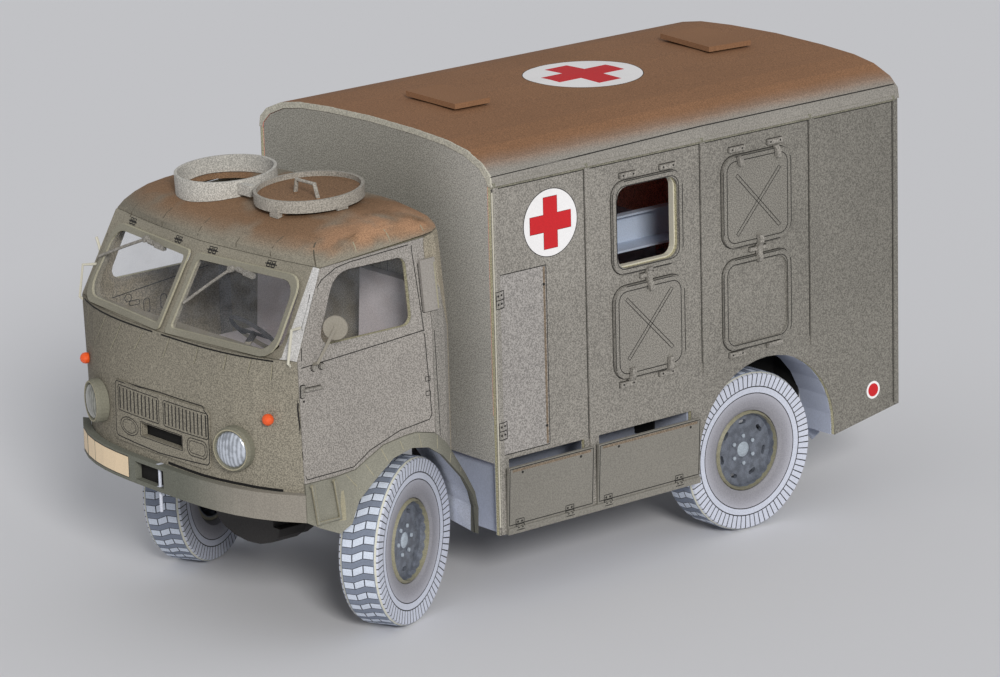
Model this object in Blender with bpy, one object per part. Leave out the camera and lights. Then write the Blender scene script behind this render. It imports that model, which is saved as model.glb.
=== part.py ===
"""Card scale model of a light cab-over military ambulance truck, about 1:32, at the model's own size.

Metres, +Z up from the ground, -Y is the front, +X is the vehicle's left. The origin is on the ground
under the middle of the model. The front wheels stand turned 26 degrees to the left, as photographed.
"""

from math import atan2, cos, hypot, pi, radians, sin, tan

import bmesh
import bpy
from mathutils import Matrix, Vector

# Card and gaps
CARD = 0.0010  # wall of layered card
THIN_CARD = 0.0006  # single sheets: frames, lids, liners
SEAM = 0.0001  # glue line between neighbouring pieces
RUNNING_GAP = 0.0003  # between a turning piece and what carries it
OVERRUN = 0.004  # how far a cutter passes the wall it cuts
ARC_STEPS = 4  # segments in a small corner

# Wheels and axles
WHEELBASE = 0.0844
TYRE_RADIUS = 0.0155
TYRE_WIDTH = 0.0078
TYRE_FACE_X = 0.0320  # outer face of a straight wheel
TYRE_SHOULDER = 0.0009
BEAD_RADIUS = 0.0086
SIDEWALL_DISH = 0.0005
RIM_RADIUS = 0.0070  # inside of the rim's barrel
RIM_WALL = 0.0007
DISC_DEPTH = 0.0022  # wheel disc behind the tyre's outer face
DISC_WALL = 0.0008
HUB_RADIUS = 0.0018
HUB_LENGTH = 0.0030
STUB_RADIUS = 0.0011
NUT_RADIUS = 0.0004
NUT_HEIGHT = 0.0004
NUT_CIRCLE = 0.0027
NUT_COUNT = 6
VENT_CIRCLE = 0.0054
VENT_LENGTH = 0.0018
VENT_WIDTH = 0.0008
VENT_COUNT = 7
TYRE_SEGMENTS = 40
RIM_SEGMENTS = 24
STEER_REST_DEG = 26
AXLE_TUBE_RADIUS = 0.0015
HOUSING_RADIUS = 0.0042
HOUSING_HALF = 0.0050
FORK_HALF_HEIGHT = 0.0034
FORK_PLATE = 0.0007
FORK_HALF_WIDTH = 0.0015
FORK_ROOT = 0.0034  # from the kingpin to the fork's back plate
KNUCKLE_RADIUS = 0.0013
BACKBONE_RADIUS = 0.0026
BACKBONE_Z = 0.0190
RAIL_X = 0.0100
RAIL_WIDTH = 0.0014
RAIL_HEIGHT = 0.0040
CROSS_WIDTH = 0.0014
SADDLE_WIDTH = 0.0030
SADDLE_SHARES = (0.07, 0.36, 0.64, 0.92)
EXHAUST_RADIUS = 0.0011
EXHAUST_SHARE = 0.377  # place of the pipe end between the rear tyre and the box's rear
EXHAUST_BEND = 0.0059
EXHAUST_INSET = 0.0094  # how far inside the box's side the pipe end lies
EXHAUST_Z = 0.0122

# Box body, distances measured back from the front axle
BOX_HALF_WIDTH = 0.0344
BOX_FRONT = 0.0207
BOX_LENGTH = 0.1004
EAVE_Z = 0.0788
ROOF_RISE = 0.0075
EAVE_PROUD = 0.0002
ROOF_REAR_OVERHANG = 0.0003
FRONT_WALL_Z = 0.0269
SKIRT_Z = 0.0134
ARCH_REAR_Z = 0.0152
REAR_SKIRT_Z = 0.0181
ARCH_CLEARANCE = 0.0019  # around the tyre
ARCH_LIFT = 0.0014  # arch centre above the axle
ARCH_SETBACK = 0.0023  # arch centre behind the rear axle
FLOOR_CLEARANCE = 0.0017  # box floor above the arch
# Columns: share of the half width, share of the rise
ROOF_SHARES = ((1.0, 0.0), (0.99, 0.27), (0.93, 0.52), (0.80, 0.76), (0.64, 0.885), (0.38, 0.96), (0.0, 1.0))
RIB_WIDTH = 0.0011
RIB_PROUD = 0.0003
# Centres of the upright ribs on a side, as shares of the box length
RIB_SHARES = (0.008, 0.2226, 0.502, 0.7749, 0.992)
LOCKER_TOP_Z = 0.0262
LOCKER_DEPTH = 0.0140
LOCKER_CORNER = 0.0050
LOCKER_CLEARANCE = 0.0014  # between a locker and the wheel arch
FLAP_PROUD = 0.0006
FLAP_AJAR = 0.0007  # how far the flap's top stands off
FLAP_FRAME = 0.0012
FLAP_GAP = 0.0013  # opening seen above a flap
LINER_INSET = 0.0080  # how far the rear wheel liner reaches in
LINER_FROM_DEG = -6
LINER_TO_DEG = 154

# Windows and covers on the box sides: columns are share along the box, half width, middle height, half height
WINDOW_WIDTH = 0.0172
WINDOW_HEIGHT = 0.0177
WINDOW_FRAME = 0.0011
WINDOW_CORNER = 0.0030
WINDOW_Z = 0.0658
LOWER_WINDOW_Z = 0.0459
WINDOW_SHARES = (0.365, 0.634)
FRAME_PROUD = 0.0004
COVER_PROUD = 0.0006
COVER_RIB = 0.0006

VENT_LID_HEIGHT = 0.0010
VENT_LID_GAP = 0.0003
# Columns: share along the box, then shares of its half width off the middle, across and along; turn in degrees
VENT_LID_SHARES = {
    "front": (0.178, 0.009, 0.448, 0.233, -2.5),
    "rear": (0.844, -0.084, 0.474, 0.288, -6.0),
}

DOOR_LEAF_WIDTH = 0.0235
DOOR_LEAF_SILL_Z = 0.0350
DOOR_LEAF_TOP_Z = 0.0745
DOOR_LEAF_PROUD = 0.0004
DOOR_GAP = 0.0004
DOOR_WINDOW_HALF = 0.0065
DOOR_WINDOW_Z = 0.0630
BENCH_WIDTH = 0.0150
BENCH_HEIGHT = 0.0120
BENCH_BACK = 0.0100

# Cab, distances from the front axle
CAB_HALF_WIDTH = 0.0328
CAB_NOSE = 0.0294
CAB_REAR = 0.0141
CAB_BASE_Z = 0.0298
CAB_HEIGHT = 0.0460
CAB_COLUMN_RADIUS = 0.0054
CAB_COLUMN_Y = 0.0077
FRONT_STEPS = 8
# Columns: share of the height, shares of the nose at the middle and at the corner, share of the half
# width, share of the rear, exponent of the front curve, share of the column radius, share of the wall's
# thickness that lies below the surface instead of inside it
CAB_SHARES = (
    (0.0000, 1.000, 0.749, 1.000, 1.000, 3.4, 1.00, 0.00),
    (0.3000, 0.995, 0.762, 1.000, 1.000, 3.4, 1.00, 0.00),
    (0.5380, 0.966, 0.774, 1.000, 1.000, 3.0, 1.00, 0.00),
    (0.5470, 0.938, 0.769, 0.997, 1.000, 1.4, 1.00, 0.00),
    (0.8674, 0.645, 0.532, 0.943, 0.993, 1.3, 1.00, 0.00),
    (0.9000, 0.622, 0.463, 0.945, 0.986, 3.0, 1.04, 0.10),
    (0.9260, 0.575, 0.384, 0.939, 0.972, 3.6, 1.07, 0.30),
    (0.9500, 0.500, 0.299, 0.918, 0.943, 3.6, 1.28, 0.55),
    (0.9674, 0.402, 0.187, 0.890, 0.908, 3.6, 1.76, 0.75),
    (0.9804, 0.300, 0.119, 0.848, 0.872, 3.6, 2.04, 0.87),
    (0.9891, 0.205, 0.068, 0.768, 0.816, 3.6, 2.04, 0.95),
    (0.9957, 0.120, 0.034, 0.610, 0.745, 3.6, 1.85, 1.00),
    (1.0000, 0.051, 0.000, 0.366, 0.638, 3.6, 1.48, 1.00),
)
BELT_Z = 0.0546
ROOF_EDGE_FRONT_Z = 0.0699
ROOF_EDGE_REAR_Z = 0.0722
CAB_FLOOR_CLEARANCE = 0.0018  # cab floor above the fender's top
CREASE_BASE = 0.0220  # corner crease ahead of the axle at the base, at the belt and at the roof edge
CREASE_BELT = 0.0226
CREASE_TOP = 0.0155

SIDE_WINDOW_SILL_Z = 0.0564
SIDE_WINDOW_TOP_Z = 0.0687
SIDE_WINDOW_FRONT = 0.0178
SIDE_WINDOW_TOP_FRONT = 0.0125
SIDE_WINDOW_REAR = 0.0034
SIDE_WINDOW_CORNER = 0.0018
SIDE_WINDOW_SWEEP = 0.0050

SCREEN_INNER_X = 0.0010
SCREEN_OUTER_X = 0.0291
SCREEN_TOP_OUTER_X = 0.0282
SCREEN_SILL_Z = 0.0549
SCREEN_TOP_Z = 0.0683
SCREEN_SILL_INNER_Y = 0.0285
SCREEN_SILL_OUTER_Y = 0.02535
SCREEN_TOP_INNER_Y = 0.02055
SCREEN_FRAME = 0.0010
SCREEN_FRAME_DEPTH = 0.0005
SCREEN_OPENING_INSET = 0.0003  # the opening in the body is this much smaller than the frame
SCREEN_CORNER = 0.0030

HATCH_X = -0.0127
HATCH_Y = 0.0035  # ahead of the axle
HATCH_RADIUS = 0.0095
HATCH_RISE = 0.0027  # ring's rim above the cab's top
HATCH_TILT_DEG = 3.5  # ring and lid lean forward
HATCH_HOLE_RADIUS = 0.0084
HINGE_LUG_LENGTH = 0.0036
HINGE_LUG_WIDTH = 0.0014
HINGE_LUG_HEIGHT = 0.0020
HINGE_LUG_Y = 0.0031  # ahead of the ring's centre
LID_X = 0.0088
LID_Y = 0.0006
LID_RADIUS = 0.0101
LID_CLEARANCE = 0.0004  # above the roof's crown
LID_HEIGHT = 0.0022
LID_DISC_DROP = 0.0009
LID_FOOT = 0.0024
# Columns: feet ahead of the lid's centre and to its left
LID_FEET = ((0.0086, 0.0022), (0.0000, 0.0086), (-0.0080, -0.0030))
HANDLE_HEIGHT = 0.0025
HANDLE_FOOT = 0.0034  # from the handle's middle to a foot
HANDLE_TOP = 0.0026
HANDLE_X = 0.0022  # handle's middle to the left of the lid's centre
HANDLE_Y = 0.0022  # and ahead of it

BUMPER_BASE_Z = 0.0255
BUMPER_TOP_Z = 0.0305
BUMPER_THICKNESS = 0.0014
SLOT_HALF_WIDTH = 0.0044
SLOT_HEIGHT = 0.0034
SLOT_X = -0.0021
PIN_RADIUS = 0.0003
PIN_X = 0.0003
PIN_BASE_Z = 0.0215

GRILLE_TOP_Z = 0.0434
GRILLE_BASE_Z = 0.0322
GRILLE_HALF_WIDTH = 0.0147
GRILLE_PROUD = 0.0003
GRILLE_SLOT_X = 0.0006
GRILLE_SLOT_Z = 0.0345
GRILLE_SLOT_HALF_WIDTH = 0.0063
GRILLE_SLOT_HEIGHT = 0.0025
HEADLIGHT_X = 0.0215
HEADLIGHT_Z = 0.0376
HEADLIGHT_RADIUS = 0.0041
HEADLIGHT_FACE = 0.02965  # ahead of the axle, at the lamp's middle
HEADLIGHT_LENGTH = 0.0036
HEADLIGHT_RING = 0.0006
HEADLIGHT_YAW_DEG = 17  # each lamp looks outward a little
INDICATOR_X = 0.0280
INDICATOR_Y = 0.0259
INDICATOR_Z = 0.0438
INDICATOR_RADIUS = 0.0011

FENDER_LIP = 0.0014  # how far the fender's lower edge stands off the cab side
FENDER_ROOT = 0.0002
# The step panel between bumper and arch. Columns: share of the way from the axle to the front crease,
# height of the outer and lower edge as shares of the tyre radius, stand-off share
APRON_SHARES = (
    (0.995, 2.065, 1.613, 0.1),
    (0.855, 2.065, 1.503, 0.1),
    (0.682, 2.065, 1.394, 0.4),
)
# The arch. Columns, as shares of the tyre radius: outer edge behind the axle and its height, lower edge the same
ARCH_SHARES = (
    (-0.684, 2.090, -0.832, 1.497),
    (-0.484, 2.194, -0.723, 1.748),
    (-0.271, 2.297, -0.477, 1.948),
    (0.045, 2.342, -0.206, 2.148),
    (0.226, 2.348, 0.077, 2.213),
    (0.490, 2.284, 0.316, 2.168),
    (0.658, 2.129, 0.516, 2.032),
    (0.923, 1.697, 0.806, 1.697),
    (1.052, 1.452, 0.948, 1.452),
    (1.097, 1.239, 1.000, 1.290),
    (1.084, 0.923, 1.013, 0.968),
)
LINER_START = 6  # the liner begins at this place of the fender
LINER_INNER_X = 0.0200
LINER_SPREAD = 0.0024
STEP_WIRE = 0.0004
STEP_DROP = 0.0070
STEP_REACH = 0.0010

MIRROR_RADIUS = 0.0022
MIRROR_THICKNESS = 0.0005
MIRROR_ARM = 0.0003
MIRROR_OUT = 0.0027  # outside the cab side
MIRROR_Y = 0.0160  # ahead of the axle
MIRROR_Z = 0.0601
MIRROR_FOOT_Y = 0.0190
MIRROR_FOOT_Z = 0.0535
GRIP_WIRE = 0.00028
# Columns: the grab handle on a screen pillar as x, distance ahead of the axle and height
GRIP_PLACES = (
    (0.0311, 0.0203, 0.0601),
    (0.0319, 0.0229, 0.0603),
    (0.0319, 0.0239, 0.0544),
    (0.0315, 0.0227, 0.0533),
)
# Columns: the short rod above the right handle, the same
ROD_PLACES = ((0.0318, 0.0188, 0.0612), (0.0324, 0.0187, 0.0630), (0.0329, 0.0189, 0.0647))
DUCT_PROUD = 0.0006  # how far the duct stands off the cab side
DUCT_FRONT = 0.0061  # its front and rear edges behind the axle
DUCT_REAR = 0.0096
DUCT_BASE_Z = 0.0582
DUCT_TOP_Z = 0.0675
ENGINE_HALF_WIDTH = 0.0080
ENGINE_FRONT = 0.0110  # ahead of the axle
ENGINE_REAR = 0.0050
PAN_HALF_WIDTH = 0.0100
PAN_TOP_Z = 0.0160
PAN_BASE_Z = 0.0115

SEAT_WIDTH = 0.0150
SEAT_DEPTH = 0.0130
SEAT_HEIGHT = 0.0058
SEAT_BACK_HEIGHT = 0.0228
SEAT_X = 0.0155
DASH_DROP = 0.0001  # below the belt line
DASH_DEPTH = 0.0050
STEERING_RADIUS = 0.0050
STEERING_SPOKE = 0.0003
STEERING_COLUMN = 0.0006

FRONT_REACH = CAB_NOSE + SEAM + BUMPER_THICKNESS
REAR_REACH = BOX_FRONT + BOX_LENGTH + ROOF_REAR_OVERHANG
AXLE_Y = (FRONT_REACH - REAR_REACH) / 2
REAR_AXLE_Y = AXLE_Y + WHEELBASE
KINGPIN_X = TYRE_FACE_X - TYRE_WIDTH
EXHAUST_X = BOX_HALF_WIDTH - EXHAUST_INSET
ARCH_RADIUS = TYRE_RADIUS + ARCH_CLEARANCE
ARCH_CENTRE_Z = TYRE_RADIUS + ARCH_LIFT
BOX_FLOOR_Z = ARCH_CENTRE_Z + ARCH_RADIUS + FLOOR_CLEARANCE
# Columns: outer edge as distance behind the axle and height, lower edge the same, stand-off share
FENDER_PLACES = [
    (-CREASE_BASE * way, TYRE_RADIUS * outer, -CREASE_BASE * way, TYRE_RADIUS * lower, stand)
    for way, outer, lower, stand in APRON_SHARES
] + [tuple(TYRE_RADIUS * share for share in shares) + (1.0,) for shares in ARCH_SHARES]
FENDER_TOP_Z = max(place[1] for place in FENDER_PLACES)
CAB_FLOOR_Z = FENDER_TOP_Z + CAB_FLOOR_CLEARANCE
HATCH_TOP_Z = CAB_BASE_Z + CAB_HEIGHT + HATCH_RISE
LID_BASE_Z = CAB_BASE_Z + CAB_HEIGHT + LID_CLEARANCE
SEAT_Z = CAB_FLOOR_Z + SEAT_HEIGHT
SEAT_BACK_TOP_Z = CAB_FLOOR_Z + SEAT_BACK_HEIGHT
DASH_TOP_Z = BELT_Z - DASH_DROP
BOX_FRONT_Y = AXLE_Y + BOX_FRONT
BOX_REAR_Y = BOX_FRONT_Y + BOX_LENGTH
ARCH_Y = REAR_AXLE_Y + ARCH_SETBACK
BELOW_GROUND = -OVERRUN
FAR_ABOVE = EAVE_Z + ROOF_RISE + OVERRUN
FAR_FRONT = AXLE_Y - FRONT_REACH - OVERRUN
FAR_REAR = AXLE_Y + REAR_REACH + OVERRUN

# Columns: name, linear colour, roughness, metallic
FINISHES = {
    "card_olive": ((0.200, 0.180, 0.125), 0.85, 0.0),
    "card_green": ((0.235, 0.225, 0.130), 0.80, 0.0),
    "card_grey": ((0.420, 0.430, 0.480), 0.85, 0.0),
    "card_pale": ((0.520, 0.500, 0.370), 0.70, 0.0),
    "card_tyre": ((0.400, 0.400, 0.440), 0.85, 0.0),
    "disc_grey": ((0.160, 0.160, 0.180), 0.60, 0.0),
    "card_inside": ((0.150, 0.130, 0.140), 0.90, 0.0),
    "under_dark": ((0.060, 0.058, 0.050), 0.90, 0.0),
    "clear_film": ((0.800, 0.800, 0.800), 0.10, 0.0),
    "lens": ((0.550, 0.580, 0.620), 0.25, 0.3),
    "orange_ball": ((0.800, 0.120, 0.010), 0.35, 0.0),
}


def clear_scene():
    for obj in list(bpy.data.objects):
        bpy.data.objects.remove(obj, do_unlink=True)


def finish_of(name):
    """The named material, made the first time it is asked for."""
    if name in bpy.data.materials:
        return bpy.data.materials[name]
    colour, roughness, metallic = FINISHES[name]
    material = bpy.data.materials.new(name)
    material.use_nodes = True
    shader = material.node_tree.nodes["Principled BSDF"]
    shader.inputs["Base Color"].default_value = (*colour, 1.0)
    shader.inputs["Roughness"].default_value = roughness
    shader.inputs["Metallic"].default_value = metallic
    material.diffuse_color = (*colour, 1.0)
    return material


def to_object(name, bm, finish):
    """A closed bmesh as an object with outward faces and its own material."""
    bmesh.ops.recalc_face_normals(bm, faces=bm.faces)
    mesh = bpy.data.meshes.new(name)
    bm.to_mesh(mesh)
    bm.free()
    mesh.shade_smooth()
    mesh.set_sharp_from_angle(angle=radians(35))
    obj = bpy.data.objects.new(name, mesh)
    bpy.context.scene.collection.objects.link(obj)
    if finish:
        mesh.materials.append(finish_of(finish))
    return obj


def helper(bm):
    """A solid that only cuts, joins or limits another one."""
    obj = to_object("helper", bm, None)
    obj.hide_render = True
    obj.display_type = "WIRE"
    return obj


def boolean(obj, operation, *tools):
    for tool in tools:
        modifier = obj.modifiers.new(operation.lower(), "BOOLEAN")
        modifier.operation = operation
        modifier.solver = "EXACT"
        modifier.object = tool
    return obj


def cut(obj, *tools):
    return boolean(obj, "DIFFERENCE", *tools)


def join(obj, *tools):
    return boolean(obj, "UNION", *tools)


def keep(obj, *tools):
    return boolean(obj, "INTERSECT", *tools)


def loft(rings, round_ends=False, bent=False):
    """Closed rings of points joined in order. The ends are capped, or joined to each other.

    Bent lofts have faces that aren't flat, so those are split into triangles.
    """
    bm = bmesh.new()
    rows = [[bm.verts.new(point) for point in ring] for ring in rings]
    pairs = list(zip(rows, rows[1:]))
    if round_ends:
        pairs.append((rows[-1], rows[0]))
    for low, high in pairs:
        count = len(low)
        for i in range(count):
            after = (i + 1) % count
            bm.faces.new((low[i], low[after], high[after], high[i]))
    if not round_ends:
        bm.faces.new(rows[0])
        bm.faces.new(rows[-1])
    if bent:
        bmesh.ops.triangulate(bm, faces=[face for face in bm.faces if len(face.verts) == 4])
    return bm


def prism(outline, axis, low, high):
    """An outline of (first, second) points, extruded along X, Y or Z."""
    place = {
        "X": lambda p, h: (h, p[0], p[1]),
        "Y": lambda p, h: (p[0], h, p[1]),
        "Z": lambda p, h: (p[0], p[1], h),
    }[axis]
    return loft([[place(point, h) for point in outline] for h in (low, high)])


def block(x0, x1, y0, y1, z0, z1):
    return prism([(x0, y0), (x1, y0), (x1, y1), (x0, y1)], "Z", z0, z1)


def turned(profile, segments, centre, axis):
    """A (radius, position) profile turned about an axis. Its first and last rings become flat caps."""
    return loft(turned_rings(profile, segments, centre, axis))


def turned_ring(profile, segments, centre, axis):
    """A closed (radius, position) loop turned about an axis it doesn't touch."""
    return loft(turned_rings(profile, segments, centre, axis), round_ends=True)


def turned_rings(profile, segments, centre, axis):
    turn = Vector((0, 0, 1)).rotation_difference(Vector(axis)).to_matrix()
    rings = []
    for radius, position in profile:
        ring = []
        for i in range(segments):
            angle = 2 * pi * (i + 0.5) / segments
            ring.append(Vector(centre) + turn @ Vector((radius * cos(angle), radius * sin(angle), position)))
        rings.append(ring)
    return rings


def filleted(corners, steps=ARC_STEPS):
    """Corners given as (first, second, radius) become an outline with round corners."""
    outline = []
    count = len(corners)
    for i, (a, b, radius) in enumerate(corners):
        here = Vector((a, b))
        if radius <= 0:
            outline.append((a, b))
            continue
        before = (Vector(corners[i - 1][:2]) - here).normalized()
        after = (Vector(corners[(i + 1) % count][:2]) - here).normalized()
        half = before.angle(after) / 2
        centre = here + (before + after).normalized() * (radius / sin(half))
        start = here + before * (radius / tan(half)) - centre
        end = here + after * (radius / tan(half)) - centre
        first = atan2(start.y, start.x)
        sweep = (atan2(end.y, end.x) - first + pi) % (2 * pi) - pi
        for k in range(steps + 1):
            angle = first + sweep * k / steps
            outline.append((centre.x + radius * cos(angle), centre.y + radius * sin(angle)))
    return outline


def rectangle(a0, a1, b0, b1, radius=0):
    return filleted([(a0, b0, radius), (a1, b0, radius), (a1, b1, radius), (a0, b1, radius)])


def wire(points, radius, sides=6):
    """A round wire along a few points, mitred at its bends."""
    points = [Vector(p) for p in points]
    rings = []
    last = len(points) - 1
    for i, point in enumerate(points):
        back = (point - points[i - 1]).normalized() if i else None
        ahead = (points[i + 1] - point).normalized() if i < last else None
        along = (back or ahead) if back is None or ahead is None else (back + ahead).normalized()
        if i == 0:
            side = along.orthogonal().normalized()
        else:
            side = (side - along * side.dot(along)).normalized()
        up = along.cross(side)
        ring = []
        for k in range(sides):
            angle = 2 * pi * k / sides
            ring.append(point + radius * (cos(angle) * side + sin(angle) * up))
        rings.append(ring)
    return loft(rings, bent=True)


def mirrored(points, side):
    return [(side * x, y, z) for x, y, z in points]


def build_wheel(label, centre, outward):
    """A tyre and its wheel disc on the axis that points outward from the wheel's middle plane."""
    half = TYRE_WIDTH / 2
    tyre = [
        (TYRE_RADIUS, -half + TYRE_SHOULDER),
        (TYRE_RADIUS, half - TYRE_SHOULDER),
        (TYRE_RADIUS - TYRE_SHOULDER / 2, half),
        (BEAD_RADIUS, half - SIDEWALL_DISH),
        (BEAD_RADIUS - RIM_WALL, half - TYRE_SHOULDER),
        (BEAD_RADIUS - RIM_WALL, -half + TYRE_SHOULDER),
        (BEAD_RADIUS, -half),
        (TYRE_RADIUS - TYRE_SHOULDER / 2, -half),
    ]
    to_object(f"tyre_{label}", turned_ring(tyre, TYRE_SEGMENTS, centre, outward), "card_tyre")
    barrel = BEAD_RADIUS - RIM_WALL - SEAM
    flange = half - SIDEWALL_DISH
    face = half - DISC_DEPTH
    back = face - DISC_WALL
    bore = STUB_RADIUS + SEAM
    rim = [
        (HUB_RADIUS / 2, face + NUT_HEIGHT),
        (HUB_RADIUS, face),
        (RIM_RADIUS, face),
        (RIM_RADIUS + RIM_WALL / 2, flange),
        (barrel, half - TYRE_SHOULDER - SEAM),
        (barrel, -half + TYRE_SHOULDER),
        (RIM_RADIUS, -half + TYRE_SHOULDER),
        (RIM_RADIUS, back),
        (HUB_RADIUS, back),
        (HUB_RADIUS, back - HUB_LENGTH),
        (bore, back - HUB_LENGTH),
        (bore, back),
    ]
    disc = to_object(f"wheel_{label}", turned(rim, RIM_SEGMENTS, centre, outward), "disc_grey")
    turn = Vector((0, 0, 1)).rotation_difference(Vector(outward)).to_matrix()
    for i in range(NUT_COUNT):
        angle = 2 * pi * i / NUT_COUNT
        spot = Vector(centre) + turn @ Vector((NUT_CIRCLE * cos(angle), NUT_CIRCLE * sin(angle), face))
        join(disc, helper(turned([(NUT_RADIUS, -SEAM), (NUT_RADIUS, NUT_HEIGHT)], 6, spot, outward)))
    for i in range(VENT_COUNT):
        angle = 2 * pi * (i + 0.5) / VENT_COUNT
        outline = filleted(
            [
                (VENT_CIRCLE - VENT_WIDTH / 2, -VENT_LENGTH / 2, VENT_WIDTH / 3),
                (VENT_CIRCLE + VENT_WIDTH / 2, -VENT_LENGTH / 2, VENT_WIDTH / 3),
                (VENT_CIRCLE + VENT_WIDTH / 2, VENT_LENGTH / 2, VENT_WIDTH / 3),
                (VENT_CIRCLE - VENT_WIDTH / 2, VENT_LENGTH / 2, VENT_WIDTH / 3),
            ],
            1,
        )
        slot = prism(outline, "Z", back - DISC_WALL, face + DISC_WALL)
        around = Matrix.Rotation(angle, 3, "Z")
        for vert in slot.verts:
            vert.co = Vector(centre) + turn @ (around @ vert.co)
        cut(disc, helper(slot))
    return half - DISC_DEPTH - DISC_WALL


def steered(side, x, y, z):
    """A point in a straight front wheel's frame, turned about that side's kingpin by the rest angle."""
    angle = radians(STEER_REST_DEG)
    dx = side * x - side * KINGPIN_X
    return (
        side * KINGPIN_X + dx * cos(angle) - y * sin(angle),
        AXLE_Y + dx * sin(angle) + y * cos(angle),
        z,
    )


def build_running_gear():
    middle_x = TYRE_FACE_X - TYRE_WIDTH / 2
    angle = radians(STEER_REST_DEG)
    hub_back = TYRE_FACE_X - DISC_DEPTH - DISC_WALL - SEAM
    for name, side in (("left", 1), ("right", -1)):
        outward = (side * cos(angle), side * sin(angle), 0)
        build_wheel(f"front_{name}", steered(side, middle_x, 0, TYRE_RADIUS), outward)
        build_wheel(f"rear_{name}", (side * middle_x, REAR_AXLE_Y, TYRE_RADIUS), (side, 0, 0))
        pin_half = FORK_HALF_HEIGHT - SEAM
        pin = turned(
            [(KNUCKLE_RADIUS, -pin_half), (KNUCKLE_RADIUS, pin_half)],
            12,
            (side * KINGPIN_X, AXLE_Y, TYRE_RADIUS),
            (0, 0, 1),
        )
        stub = turned(
            [(STUB_RADIUS, 0), (STUB_RADIUS, hub_back - KINGPIN_X)],
            12,
            (side * KINGPIN_X, AXLE_Y, TYRE_RADIUS),
            outward,
        )
        join(to_object(f"knuckle_{name}", pin, "under_dark"), helper(stub))

    front = to_object("front_axle", axle_housing(AXLE_Y), "under_dark")
    fork_back = KINGPIN_X - FORK_ROOT
    for side in (1, -1):
        tube = turned(
            [(AXLE_TUBE_RADIUS, 0), (AXLE_TUBE_RADIUS, fork_back + FORK_PLATE / 2)],
            12,
            (0, AXLE_Y, TYRE_RADIUS),
            (side, 0, 0),
        )
        outer = FORK_HALF_HEIGHT + FORK_PLATE
        fork = [
            (side * fork_back, TYRE_RADIUS - outer),
            (side * (KINGPIN_X + KNUCKLE_RADIUS), TYRE_RADIUS - outer),
            (side * (KINGPIN_X + KNUCKLE_RADIUS), TYRE_RADIUS - FORK_HALF_HEIGHT),
            (side * (fork_back + FORK_PLATE), TYRE_RADIUS - FORK_HALF_HEIGHT),
            (side * (fork_back + FORK_PLATE), TYRE_RADIUS + FORK_HALF_HEIGHT),
            (side * (KINGPIN_X + KNUCKLE_RADIUS), TYRE_RADIUS + FORK_HALF_HEIGHT),
            (side * (KINGPIN_X + KNUCKLE_RADIUS), TYRE_RADIUS + outer),
            (side * fork_back, TYRE_RADIUS + outer),
        ]
        yoke = prism(fork, "Y", AXLE_Y - FORK_HALF_WIDTH, AXLE_Y + FORK_HALF_WIDTH)
        join(front, helper(tube), helper(yoke))

    rear = to_object("rear_axle", axle_housing(REAR_AXLE_Y), "under_dark")
    for side in (1, -1):
        tube_end = TYRE_FACE_X - TYRE_WIDTH
        tube = turned(
            [
                (AXLE_TUBE_RADIUS, 0),
                (AXLE_TUBE_RADIUS, tube_end),
                (STUB_RADIUS, tube_end),
                (STUB_RADIUS, hub_back),
            ],
            12,
            (0, REAR_AXLE_Y, TYRE_RADIUS),
            (side, 0, 0),
        )
        join(rear, helper(tube))


def axle_housing(y):
    """A round housing on the middle of an axle, its ends stepped down."""
    profile = [
        (HOUSING_RADIUS / 2, -HOUSING_HALF),
        (HOUSING_RADIUS, -HOUSING_HALF / 2),
        (HOUSING_RADIUS, HOUSING_HALF / 2),
        (HOUSING_RADIUS / 2, HOUSING_HALF),
    ]
    return turned(profile, 16, (0, y, TYRE_RADIUS), (1, 0, 0))


def build_chassis():
    start = AXLE_Y + HOUSING_RADIUS + SEAM
    end = REAR_AXLE_Y - HOUSING_RADIUS - SEAM
    tube = turned(
        [(BACKBONE_RADIUS, start), (BACKBONE_RADIUS, end)], 16, (0, 0, BACKBONE_Z - BACKBONE_RADIUS), (0, 1, 0)
    )
    backbone = to_object("backbone_tube", tube, "under_dark")
    rail_top = BOX_FLOOR_Z - SEAM
    rail_base = rail_top - RAIL_HEIGHT
    rail_start = BOX_FRONT_Y + CARD + SEAM
    rail_end = BOX_REAR_Y - CARD - SEAM
    saddle_base = BACKBONE_Z - BACKBONE_RADIUS
    for share in SADDLE_SHARES:
        y = start + (end - start) * share
        top = rail_base - SEAM if y > rail_start else CAB_FLOOR_Z - SEAM
        saddle = block(
            -SADDLE_WIDTH, SADDLE_WIDTH, y - SADDLE_WIDTH / 2, y + SADDLE_WIDTH / 2, saddle_base, top
        )
        join(backbone, helper(saddle))

    rails = to_object(
        "frame_rails",
        block(RAIL_X - RAIL_WIDTH / 2, RAIL_X + RAIL_WIDTH / 2, rail_start, rail_end, rail_base, rail_top),
        "under_dark",
    )
    other = block(-RAIL_X - RAIL_WIDTH / 2, -RAIL_X + RAIL_WIDTH / 2, rail_start, rail_end, rail_base, rail_top)
    join(rails, helper(other))
    for share in SADDLE_SHARES[1:]:
        y = start + (end - start) * share
        join(rails, helper(block(-RAIL_X, RAIL_X, y - CROSS_WIDTH, y + CROSS_WIDTH, rail_base, rail_top - CARD)))

    tyre_rear = REAR_AXLE_Y + TYRE_RADIUS
    pipe_y = tyre_rear + EXHAUST_SHARE * (BOX_REAR_Y - tyre_rear)
    pipe = wire(
        [
            (EXHAUST_X, pipe_y, EXHAUST_Z),
            (EXHAUST_X - EXHAUST_BEND, pipe_y - EXHAUST_BEND / 2, EXHAUST_Z + EXHAUST_BEND),
            (EXHAUST_X - EXHAUST_BEND, pipe_y - EXHAUST_BEND / 2, BOX_FLOOR_Z - SEAM),
        ],
        EXHAUST_RADIUS,
        10,
    )
    to_object("exhaust_pipe", pipe, "card_grey")


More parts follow.
